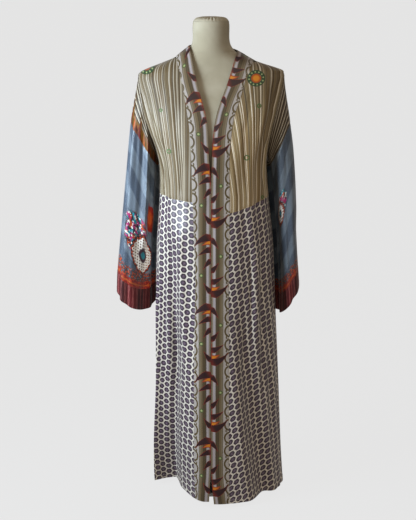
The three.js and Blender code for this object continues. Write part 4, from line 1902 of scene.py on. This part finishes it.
@dataclass(frozen=True)
class StripedSilk:
    """Silk with fine uneven stripes, and small rings and rosettes on the fronts.

    The rows of brown lines hold a period, a shift and half a width; those of pale lines also a strength and
    how far they thin out on the right front. Rings hold their place and radius.
    """

    name: str = "striped_silk_print"
    on_sleeve: bool = False
    leaves: bool = False
    hairline: float = 4.6
    brown_lines: Rows = ((47, 15, 2), (29, 4, 1.5), (17, 8, 0.9))
    pale_lines: Rows = (
        (21, 0, 1.4, 0.8, 0.8), (34, 9, 1.8, 0.95, 0), (55, 30, 1.2, 0.9, 0), (13, 5, 0.6, 0.6, 0.7),
    )
    sleeve_pitch: float = 12
    sleeve_stretch: float = 0.7
    sleeve_brown: float = 0.72
    small_rings: Rows = (
        (-118, 1050, 5.5), (-140, 1164, 3.5), (100, 1033, 6.5), (134, 1176, 4.8), (147, 915, 3.5),
    )
    rosettes: Rows = ((126, 1250), (-184, 1281))
    rosette: float = 20
    petals: int = 12
    flame_pitch: float = 58
    outer_flame: Leaf = Leaf((28, 236), (30, 60), 28, 5)
    inner_flame: Leaf = Leaf((30, 214), (28, 72), 11, -3)
    side_flame: Leaf = Leaf((50, 204), (53, 88), 7, 3)
    tan: Colour = paint(126, 102, 64)
    beige: Colour = paint(150, 132, 97)
    brown: Colour = paint(50, 35, 17)
    cream: Colour = paint(226, 214, 194)
    green: Colour = paint(84, 112, 62)
    pale_green: Colour = paint(160, 172, 116)
    red: Colour = paint(104, 12, 3)
    surface: Surface = Surface(0.011, 3, 0.9, 0.2, 0.44, 0.12, 0.7, 4, 1, 0.00025, 0.28)

    def stripes(self, sh: Shader, s: Value, t: Value, sparse: "Value | float" = 0.0) -> Socket:
        """The stripes' colours.

        Args:
            sh: the shader.
            s: distance across the stripes.
            t: distance along them.
            sparse: 1 where only the widest pale lines show.

        Returns:
            The colour.
        """
        tone = sh.noise(0.021, 2, s, 0.0)
        drift = sh.noise(0.01, 1, s * 0.3, t) - 0.5
        s = s + drift * 1.5
        fine = s.from_line(self.hairline)
        narrow = sh.noise(0.16, 1, s, 3.0)
        colour = sh.mix(tone.step(0.38, 0.62), self.tan, self.beige)
        colour = sh.mix(fine.step(0.95, 0.4) * narrow.step(0.42, 0.6) * 0.75, colour, self.brown)
        for period, shift, half in self.brown_lines:
            line = s.from_line(period, shift)
            colour = sh.mix(line.step(half + 0.5, half - 0.4) * 0.6, colour, self.brown)
        for period, shift, half, strength, thinned in self.pale_lines:
            line = s.from_line(period, shift)
            shown = (1 - sparse * thinned) * strength
            colour = sh.mix(line.step(half + 0.5, half - 0.5) * shown, colour, self.cream)
        if self.on_sleeve:
            colour = sh.mix(self.sleeve_brown, colour, self.brown)
            lines = s.within(self.sleeve_pitch, 0)
            colour = sh.mix(abs(lines - 8).step(2.2, 1.2) * 0.85, colour, self.brown)
            colour = sh.mix(abs(lines - 3).step(1.7, 0.7) * 0.85, colour, self.cream)
        return colour

    def material(self) -> Material:
        """Builds the finish.

        Returns:
            The finish.
        """
        sh = Shader(self.name)
        u, v = sh.map("print")
        if self.on_sleeve:
            colour = self.stripes(sh, v * self.sleeve_stretch, u)
        else:
            s, t = sh.map("stripe")
            x, y, z = sh.place()
            front, right, high = y.below(0), x.step(-6, 6), z.step(1090, 1210)
            colour = self.stripes(sh, s, t, right * front)
            colour = sh.mix((1 - right) * (high * 0.2 + 0.27) * front, colour, self.brown)
            # Painted light: the right front below the chest, which lies in shade, is made brighter.
            colour = sh.bright(colour, right * (1 - high) * front * 0.62 + 1)
            dark = s.from_line(320, -28).step(27, 23)
            colour = sh.mix(dark * 0.3, colour, self.brown)
            colour = self.rings(sh, colour)
        if self.leaves:
            colour = self.flames(sh, colour, u, v)
        return sh.silk(colour, u, v, self.surface)

    def rings(self, sh: Shader, colour: Socket) -> Socket:
        """Small green rings and the rosettes, on the fronts alone.

        Args:
            sh: the shader.
            colour: the cloth under them.

        Returns:
            The colour with them.
        """
        x, y, z = sh.place()
        front = y.below(0)
        for cx, cz, size in self.small_rings:
            line = sh.ring(x, z, (cx, cz), size, 1.5)
            colour = sh.mix(line * front, colour, self.green)
        for cx, cz in self.rosettes:
            dx, dz = x - cx, (z - cz) * 1.15
            away = (dx * dx + dz * dz).root()
            petals = (sh.sum("ARCTAN2", dz, dx) * self.petals).wave()
            ring = abs(away - self.rosette).step(6.2, 5) * front
            beads = abs(away - self.rosette).step(2.8, 1.8) * petals.step(0.1, 0.7)
            colour = sh.mix(ring, colour, sh.mix(beads, paint(50, 70, 42), self.pale_green))
            core = sh.mix(away.step(13, 6), paint(168, 66, 12), paint(222, 136, 24))
            colour = sh.mix(away.step(15, 13.5) * front, colour, core)
        return colour

    def flames(self, sh: Shader, colour: Socket, u: Value, v: Value) -> Socket:
        """Pointed leaves that rise from the sleeve's lower seam.

        Args:
            sh: the shader.
            colour: the cloth under them.
            u: distance round the sleeve.
            v: distance down it.

        Returns:
            The colour with them.
        """
        fray = sh.noise(0.12, 2, u * 2, v) - 0.5
        across = (u + fray * 4).within(self.flame_pitch, 0)
        outer, _ = self.outer_flame.inside(across, v)
        inner, share = self.inner_flame.inside(across, v)
        side, _ = self.side_flame.inside(across, v)
        ground = (v + u * 0.25).step(110, 122)
        lines = sh.noise(0.16, 2, u, v * 0.12)
        glow = sh.ramp(lines, [
            (0.36, paint(80, 26, 2)),
            (0.45, paint(144, 76, 0)),
            (0.53, paint(112, 82, 0)),
            (0.62, paint(54, 38, 2)),
        ])
        colour = sh.mix(ground.most(outer.step(-0.5, 0.8)), colour, glow)
        colour = sh.mix(side.step(-0.5, 0.8), colour, paint(180, 84, 2))
        colour = sh.mix(inner.step(-0.5, 0.8), colour, self.red)
        return sh.mix(inner.step(3, 5) * share.step(0.2, 0.6), colour, paint(110, 24, 20))


@dataclass(frozen=True)
class BandSilk:
    """The band's silk: long stripes, scrolls along the outer seam and sprays of leaves."""

    width: float = 52
    repeat: float = 200
    scroll: float = 40
    maroon: Colour = paint(40, 6, 12)
    rust: Colour = paint(142, 40, 20)
    gold: Colour = paint(204, 122, 18)
    olive: Colour = paint(84, 68, 34)
    white: Colour = paint(174, 165, 160)
    leaves: tuple[Leaf, ...] = (
        Leaf((-5, 9), (50, 40), 10.5, -8),
        Leaf((-4, 44), (37, 64), 8, -3),
        Leaf((-4, 74), (22, 103), 7.4, -2),
        Leaf((-4, 172), (21, 140), 7.2, 2),
    )
    core: Leaf = Leaf((-7, 24), (27, 35), 7.5, -3)
    bead: Pair = (27, 120)
    surface: Surface = Surface(0.015, 2, 0.9, 0.2, 0.36, 0.1, 0.8, 3, 1, 0.0002, 0.4)

    def material(self) -> Material:
        """Builds the finish.

        Returns:
            The finish.
        """
        sh = Shader("band_silk_print")
        u, v = sh.map("print")
        fray = (sh.noise(0.35, 1, u, v) - 0.5) * 2
        base = sh.ramp((u + fray * 0.8) / self.width, [
            (0.0, paint(86, 68, 48)),
            (0.04, paint(124, 109, 87)),
            (0.09, paint(131, 118, 101)),
            (0.12, paint(162, 153, 156)),
            (0.2, paint(172, 163, 166)),
            (0.25, paint(124, 112, 104)),
            (0.28, paint(56, 43, 24)),
            (0.31, paint(74, 60, 36)),
            (0.4, paint(80, 65, 41)),
            (0.43, paint(54, 42, 24)),
            (0.46, paint(104, 87, 61)),
            (0.56, paint(108, 92, 66)),
            (0.6, paint(128, 115, 94)),
            (0.65, paint(94, 80, 56)),
            (0.69, self.white),
        ])
        way = v.within(self.scroll, 0)
        lines = sh.noise(0.42, 2, u, v * 0.02)
        base = sh.bright(base, lines * 0.5 + 0.75)
        arc = sh.ring(u, way * 0.86, (53.5, 15.5), 13.6, 2.3)
        curl = sh.ring(u, way, (48, 36.5), 4.6, 1.7) * u.step(51, 47)
        colour = sh.mix(arc.most(curl), base, self.olive)
        return sh.silk(self.sprays(sh, colour, u + fray, v + fray), u, v, self.surface)

    def sprays(self, sh: Shader, colour: Socket, u: Value, v: Value) -> Socket:
        """Sprays of pointed leaves and a small ring, once in each repeat.

        Args:
            sh: the shader.
            colour: the cloth under them.
            u: distance from the band's inner edge.
            v: distance along the band.

        Returns:
            The colour with them.
        """
        down = (0 - v).within(self.repeat, 0)
        core, _ = self.core.inside(u, down)
        colour = sh.mix(core.step(-0.5, 0.8), colour, sh.mix(core.step(0.6, 5), self.rust, self.gold))
        colour = sh.mix(u.step(2.6, 1.4) * abs(down - 40).step(34, 20), colour, self.rust)
        for leaf in self.leaves:
            inside, share = leaf.inside(u, down)
            fill = sh.mix(inside.step(1.2, 0.4), self.maroon, self.rust)
            fill = sh.mix(share.step(0.3, 0.0) * 0.55, fill, self.rust)
            colour = sh.mix(inside.step(-0.3, 0.5), colour, fill)
        ring = sh.ring(u, down, self.bead, 4.6, 1.4)
        inside = ((u - self.bead[0]) ** 2 + (down - self.bead[1]) ** 2).root().step(4, 3)
        colour = sh.mix(inside, colour, paint(160, 166, 112))
        return sh.mix(ring, colour, paint(70, 84, 44))


@dataclass(frozen=True)
class GreySilk:
    """Slate-grey silk with tonal bands, a medallion and a warm border above the cuff; on the left sleeve the
    inner side, which lies in shade, is made lighter as painted light.

    A medallion is given by its place, half its width and half its height.
    """

    side: Side
    slate: Colour = paint(71, 85, 104)
    pale: Colour = paint(134, 149, 164)
    dark: Colour = paint(48, 56, 74)
    rust: Colour = paint(186, 72, 28)
    turquoise: Colour = paint(16, 140, 158)
    magenta: Colour = paint(176, 24, 112)
    ivory: Colour = paint(250, 246, 238)
    night: Colour = paint(24, 22, 34)
    band_pitch: float = 118
    band_lean: float = 0.62
    medallion_left: tuple[float, ...] = (130, 464, 46, 60)
    medallion_right: tuple[float, ...] = (124, 318, 22, 32)
    petal: tuple[float, ...] = (170, 342, 28, 42)
    border_start: float = 548
    # Painted light: how much brighter the left sleeve's inner side is made
    inner_painted_light: float = 1.5
    surface: Surface = Surface(0.02, 3, 1, 0, 0.3, 0.12, 0.8, 3, 1, 0.0003, 0.55)

    def material(self) -> Material:
        """Builds the finish.

        Returns:
            The finish.
        """
        sh = Shader(f"grey_silk_{self.side.word}")
        u, v = sh.map("print")
        cloud = sh.noise(0.02, 3, u, v)
        lean = ((v - u * self.band_lean) / self.band_pitch).within(1, 0)
        band = abs(lean - 0.5).step(0.27, 0.22)
        colour = sh.mix(band * 0.6, self.slate, self.pale)
        hatch = ((u + v) * 0.8).wave() * ((v - u) * 0.8).wave()
        colour = sh.mix(hatch.step(0.1, 0.7) * band * 0.4, colour, self.slate)
        colour = sh.mix(cloud.step(0.45, 0.75) * 0.6, colour, self.dark)
        slub = sh.noise(0.55, 2, u * 0.35, v)
        colour = sh.mix(slub.step(0.45, 0.7) * 0.28, colour, self.pale)
        curls = abs(sh.noise(0.028, 1, u, v) - 0.5).step(0.012, 0.004) * v.step(300, 420)
        colour = sh.mix(curls * 0.7, colour, self.dark)
        colour = self.medallion(sh, colour, u, v)
        colour = self.border(sh, colour, u, v)
        # Painted light: the left sleeve's inner side, which lies in shade beside the body, is brightened.
        if self.side is Side.LEFT:
            colour = sh.bright(colour, u.step(122, 152) * self.inner_painted_light + 1)
        return sh.silk(colour, u, v, self.surface)

    def medallion(self, sh: Shader, colour: Socket, u: Value, v: Value) -> Socket:
        """A pointed medallion with dots, and small flowers scattered round it.

        Args:
            sh: the shader.
            colour: the cloth under it.
            u: distance round the sleeve.
            v: distance down it.

        Returns:
            The colour with it.
        """
        left = self.side is Side.LEFT
        cu, cv, half, tall = self.medallion_left if left else self.medallion_right
        x, y = u - cu, v - cv
        away = (abs(x) / half) ** 1.5 + (abs(y) / tall) ** 1.5
        around = sh.sum("ARCTAN2", y, x)
        shape = (1 - away) * (half * 0.7) + (around * 14).wave() * 1.8
        px, py = x + half * 0.7, y + tall * 0.85
        reach = (1 - (px * px / (half * half * 1.5) + py * py / (tall * tall * 1.1))).step(0, 0.25)
        patches = (
            (0, 0.05, 0.44, self.dark),
            (90, 0.06, 0.53, self.turquoise),
            (170, 0.06, 0.54, self.rust),
            (260, 0.055, 0.53, self.magenta),
            (350, 0.12, 0.58, self.ivory),
            (40, 0.09, 0.57, self.night),
        )
        for shift, scale, low, patch in patches:
            bits = sh.noise(scale, 2, u + shift, v - shift)
            colour = sh.mix(bits.step(low, low + 0.03) * reach, colour, patch)
        spots = (u * 0.36).wave() * (v * 0.36).wave()
        inner = sh.mix(abs(spots).step(0.6, 0.75), self.ivory, paint(92, 22, 30))
        inner = sh.mix(away.step(0.3, 0.22), inner, paint(58, 20, 40))
        inner = sh.mix(away.step(0.12, 0.07), inner, self.turquoise)
        beads = (around * 26).wave().step(-0.2, 0.4)
        colour = sh.mix(shape.step(-5.5, -4), colour, paint(28, 26, 38))
        colour = sh.mix(shape.step(-2.6, -1.6), colour, sh.mix(beads, paint(92, 22, 16), self.rust))
        colour = sh.mix(shape.step(3.2, 4.2), colour, inner)
        if not left:
            return colour
        pu, pv, wide, high = self.petal
        uneven = (sh.noise(0.09, 2, u, v) - 0.5) * 0.9
        petal = (((u - pu) / wide) ** 2 + ((v - pv) / high) ** 2).root() + uneven
        flesh = sh.mix(petal.step(0.3, 0.8), paint(196, 84, 34), paint(150, 34, 24))
        return sh.mix(petal.step(1.05, 0.92), colour, flesh)

    def border(self, sh: Shader, colour: Socket, u: Value, v: Value) -> Socket:
        """Warm bands of small leaves above the cuff.

        Args:
            sh: the shader.
            colour: the cloth under them.
            u: distance round the sleeve.
            v: distance down it.

        Returns:
            The colour with them.
        """
        bits = sh.noise(0.12, 2, u, v * 1.4)
        upper = (v + bits * 16).step(self.border_start - 22, self.border_start - 14)
        speckled = sh.mix(bits.step(0.5, 0.58), paint(62, 48, 52), self.rust)
        speckled = sh.mix(sh.noise(0.16, 2, u, v + 60).step(0.6, 0.65), speckled, self.turquoise)
        colour = sh.mix(upper * bits.step(0.3, 0.45), colour, speckled)
        lower = (v + bits * 5).step(self.border_start + 5, self.border_start + 8)
        warm = sh.mix(bits.step(0.44, 0.6), paint(126, 20, 22), paint(178, 60, 24))
        line = abs(v - (self.border_start + 17)).step(3, 1.5)
        warm = sh.mix(line * 0.5, warm, paint(200, 112, 40))
        return sh.mix(lower, colour, warm)


@dataclass(frozen=True)
class WineSilk:
    """Wine-coloured silk with chains of small pale dashes, and painted shade in bands where the cuff's pleats
    would fall.
    """

    wine: Colour = paint(94, 18, 24)
    # The colour of the painted shade in the pleats
    deep: Colour = paint(42, 8, 12)
    rose: Colour = paint(170, 92, 90)
    pleat_shade_pitch: float = 62
    lane: float = 14
    surface: Surface = Surface(0.02, 2, 0.85, 0.3, 0.45, 0.1, 0.8, 1, 3, 0.0003, 0.3)

    def material(self) -> Material:
        """Builds the finish.

        Returns:
            The finish.
        """
        sh = Shader("wine_silk_print")
        u, v = sh.map("print")
        # Painted shade: dark bands round the cuff at the pleats, where the pale chains also fade.
        wide = u.from_line(self.pleat_shade_pitch).step(17, 12)
        colour = sh.mix(wide * 0.7, self.wine, self.deep)
        lane = u.from_line(self.lane)
        sway = (v / 6.5).wave() * 0.9 + 1.2
        chain = abs(lane - sway).step(1.3, 0.5)
        colour = sh.mix(chain * (0.85 - wide * 0.35), colour, self.rose)
        return sh.silk(colour, u, v, self.surface)


@dataclass(frozen=True)
class Linen:
    """The form's cream cover."""

    cream: Colour = paint(190, 181, 160)
    shade: Colour = paint(171, 161, 138)
    stain: Colour = paint(170, 152, 128)
    roughness: float = 0.85

    def material(self) -> Material:
        """Builds the finish.

        Returns:
            The finish.
        """
        sh = Shader("linen_cover")
        x, y, z = sh.place()
        cloud = sh.noise(0.012, 3, x, y, z)
        threads = sh.noise(0.6, 2, x, y, z * 5)
        cross = sh.noise(0.6, 2, x * 4, y * 4, z)
        colour = sh.mix(cloud.step(0.3, 0.7), self.cream, self.shade)
        colour = sh.bright(colour, (threads + cross) * 0.1 + 0.9)
        stain = sh.noise(0.09, 1, x, y, z).step(0.74, 0.8)
        colour = sh.mix(stain * 0.3, colour, self.stain)
        return sh.finish(colour, self.roughness, threads + cross, 0.0003, {"Specular IOR Level": 0.25})


@dataclass(frozen=True)
class PaintedSteel:
    """The stand's pale paint, a little scuffed."""

    pale: Colour = paint(222, 220, 214)
    scuff: Colour = paint(176, 172, 166)

    def material(self) -> Material:
        """Builds the finish.

        Returns:
            The finish.
        """
        sh = Shader("painted_stand")
        x, y, z = sh.place()
        spots = sh.noise(0.03, 4, x, y, z)
        marks = sh.noise(0.12, 3, x, y, z * 0.2).step(0.62, 0.75)
        colour = sh.mix(marks * 0.5, self.pale, self.scuff)
        return sh.finish(colour, spots * 0.25 + 0.32, spots, 0.0002, {"Metallic": 0.0})


@dataclass(frozen=True)
class Thread:
    """Sewing thread."""

    name: str
    colour: Colour

    def material(self) -> Material:
        """Builds the finish.

        Returns:
            The finish.
        """
        sh = Shader(self.name)
        x, y, z = sh.place()
        ply = sh.noise(1.6, 1, x, y, z)
        return sh.finish(sh.bright(self.colour, ply * 0.4 + 0.8), 0.55, ply, 0.0001)


# Studio


@dataclass(frozen=True)
class Sun:
    """A distant soft light.

    Its height is in degrees above the horizon, its place in degrees from the front towards +X, and its
    width in degrees.
    """

    name: str
    strength: float
    height: float
    around: float
    width: float
    tint: Triple
    glossy: bool = True

    def build(self) -> None:
        """Adds the light."""
        light = bpy.data.lights.new(self.name, "SUN")
        light.energy, light.angle, light.color = self.strength, math.radians(self.width), self.tint
        lamp = bpy.data.objects.new(self.name, light)
        lamp.rotation_euler = (math.radians(90 - self.height), 0, math.radians(self.around))
        lamp.visible_glossy = self.glossy
        bpy.context.scene.collection.objects.link(lamp)


@dataclass(frozen=True)
class Window:
    """A square soft light near the object, unseen by the camera."""

    name: str = "key_light"
    power: float = 60
    size: float = 0.75
    place: Triple = (-1.26, -0.8, 1.3)
    target: Triple = (0, 0, 0.95)
    tint: Triple = (0.76, 0.895, 1.0)

    def build(self) -> None:
        """Adds the light."""
        light = bpy.data.lights.new(self.name, "AREA")
        light.energy, light.size, light.color = self.power, self.size, self.tint
        lamp = bpy.data.objects.new(self.name, light)
        lamp.location = self.place
        way = Vector(self.place) - Vector(self.target)
        lamp.rotation_euler = way.to_track_quat("Z", "Y").to_euler()
        lamp.visible_camera = False
        bpy.context.scene.collection.objects.link(lamp)


@dataclass(frozen=True)
class Studio:
    """A plain pale floor, soft light from the left, the front and behind, and the camera.

    The floor glows faintly so that it looks flat, and it neither lights the object nor shows in its gloss.
    """

    floor_size: float = 240
    floor: Colour = paint(50, 50, 50)
    floor_glow: float = 0.767
    air: tuple[float, float, float, float] = (1.0, 0.93, 0.86, 1.0)
    ambient: float = 0.28
    window: Window = Window()
    suns: tuple[Sun, ...] = (
        Sun("fill_light", 1.08, 38, 12, 70, (1.0, 0.83, 0.62)),
        Sun("back_light", 1.2, 16, 172, 70, (1.0, 0.95, 0.9), False),
    )
    lens: float = 82.04
    sensor: float = 36
    camera_place: Triple = (-0.0085, -3.4, 1.52)
    camera_tilt: float = 13.35

    def build(self) -> None:
        """Adds the floor, the lights and the camera."""
        self.lay_floor()
        scene = bpy.context.scene
        scene.world = bpy.data.worlds.new("studio_air")
        scene.world.use_nodes = True
        background = scene.world.node_tree.nodes["Background"]
        background.inputs[0].default_value = self.air
        background.inputs[1].default_value = self.ambient
        self.window.build()
        for sun in self.suns:
            sun.build()
        lens = bpy.data.cameras.new("picture_camera")
        lens.lens, lens.sensor_width, lens.sensor_fit = self.lens, self.sensor, "AUTO"
        scene.camera = bpy.data.objects.new("picture_camera", lens)
        scene.camera.location = self.camera_place
        scene.camera.rotation_euler = (math.radians(90 - self.camera_tilt), 0, 0)
        scene.collection.objects.link(scene.camera)
        scene.view_settings.view_transform = "Standard"

    def lay_floor(self) -> None:
        """Adds the floor."""
        half = self.floor_size / 2
        corners = [(-half, -half, 0), (half, -half, 0), (half, half, 0), (-half, half, 0)]
        mesh = bpy.data.meshes.new("studio_floor")
        mesh.from_pydata(corners, [], [(0, 1, 2, 3)])
        floor = bpy.data.objects.new("studio_floor", mesh)
        bpy.context.scene.collection.objects.link(floor)
        sh = Shader("pale_floor")
        x, y, z = sh.place()
        grain = sh.noise(0.002, 2, x, y, z)
        glow = {"Emission Color": (1.0, 1.0, 1.0, 1.0), "Emission Strength": self.floor_glow}
        colour = sh.bright(self.floor, grain * 0.01 + 0.995)
        mesh.materials.append(sh.finish(colour, 0.9, None, 0, {"Specular IOR Level": 0.0, **glow}))
        floor.visible_diffuse = floor.visible_glossy = False


def main() -> None:
    """Builds the object, piece by piece."""
    logging.basicConfig(level=logging.INFO, format="%(message)s", stream=sys.stdout)
    body = Body()
    skirt, band, stitching = Skirt(body), Neckband(body), Stitching(body)
    skirt.build(DottedSilk().material())
    Bodice(body).build(StripedSilk().material())
    band.build(BandSilk().material())
    wine = WineSilk().material()
    cream_thread = Thread("cream_thread", paint(204, 192, 168)).material()
    wine_thread = Thread("wine_thread", paint(92, 34, 38)).material()
    tree = stitching.tree(cream_thread)
    for side in Side:
        sleeve = Sleeve(body, side)
        top = StripedSilk(f"striped_sleeve_{side.word}", True, side is Side.LEFT).material()
        sleeve.build(top, GreySilk(side).material(), wine)
        line = stitching.cuff_line(sleeve)
        stitching.sewn(f"stitches_cuff_{side.word}", [line], tree, wine_thread, Slot.WINE)
        lines = [stitching.band_line(band, side), stitching.hem_line(skirt.front(side), skirt.thickness)]
        stitching.sewn(f"stitches_front_{side.word}", lines, tree, cream_thread, Slot.BAND)
    hem = stitching.hem_line(skirt.back(), skirt.thickness)
    stitching.sewn("stitches_back", [hem], tree, cream_thread, Slot.DOTTED)
    DressForm().build(Linen().material())
    Stand().build(PaintedSteel().material())
    Studio().build()


if __name__ == "__main__":
    main()
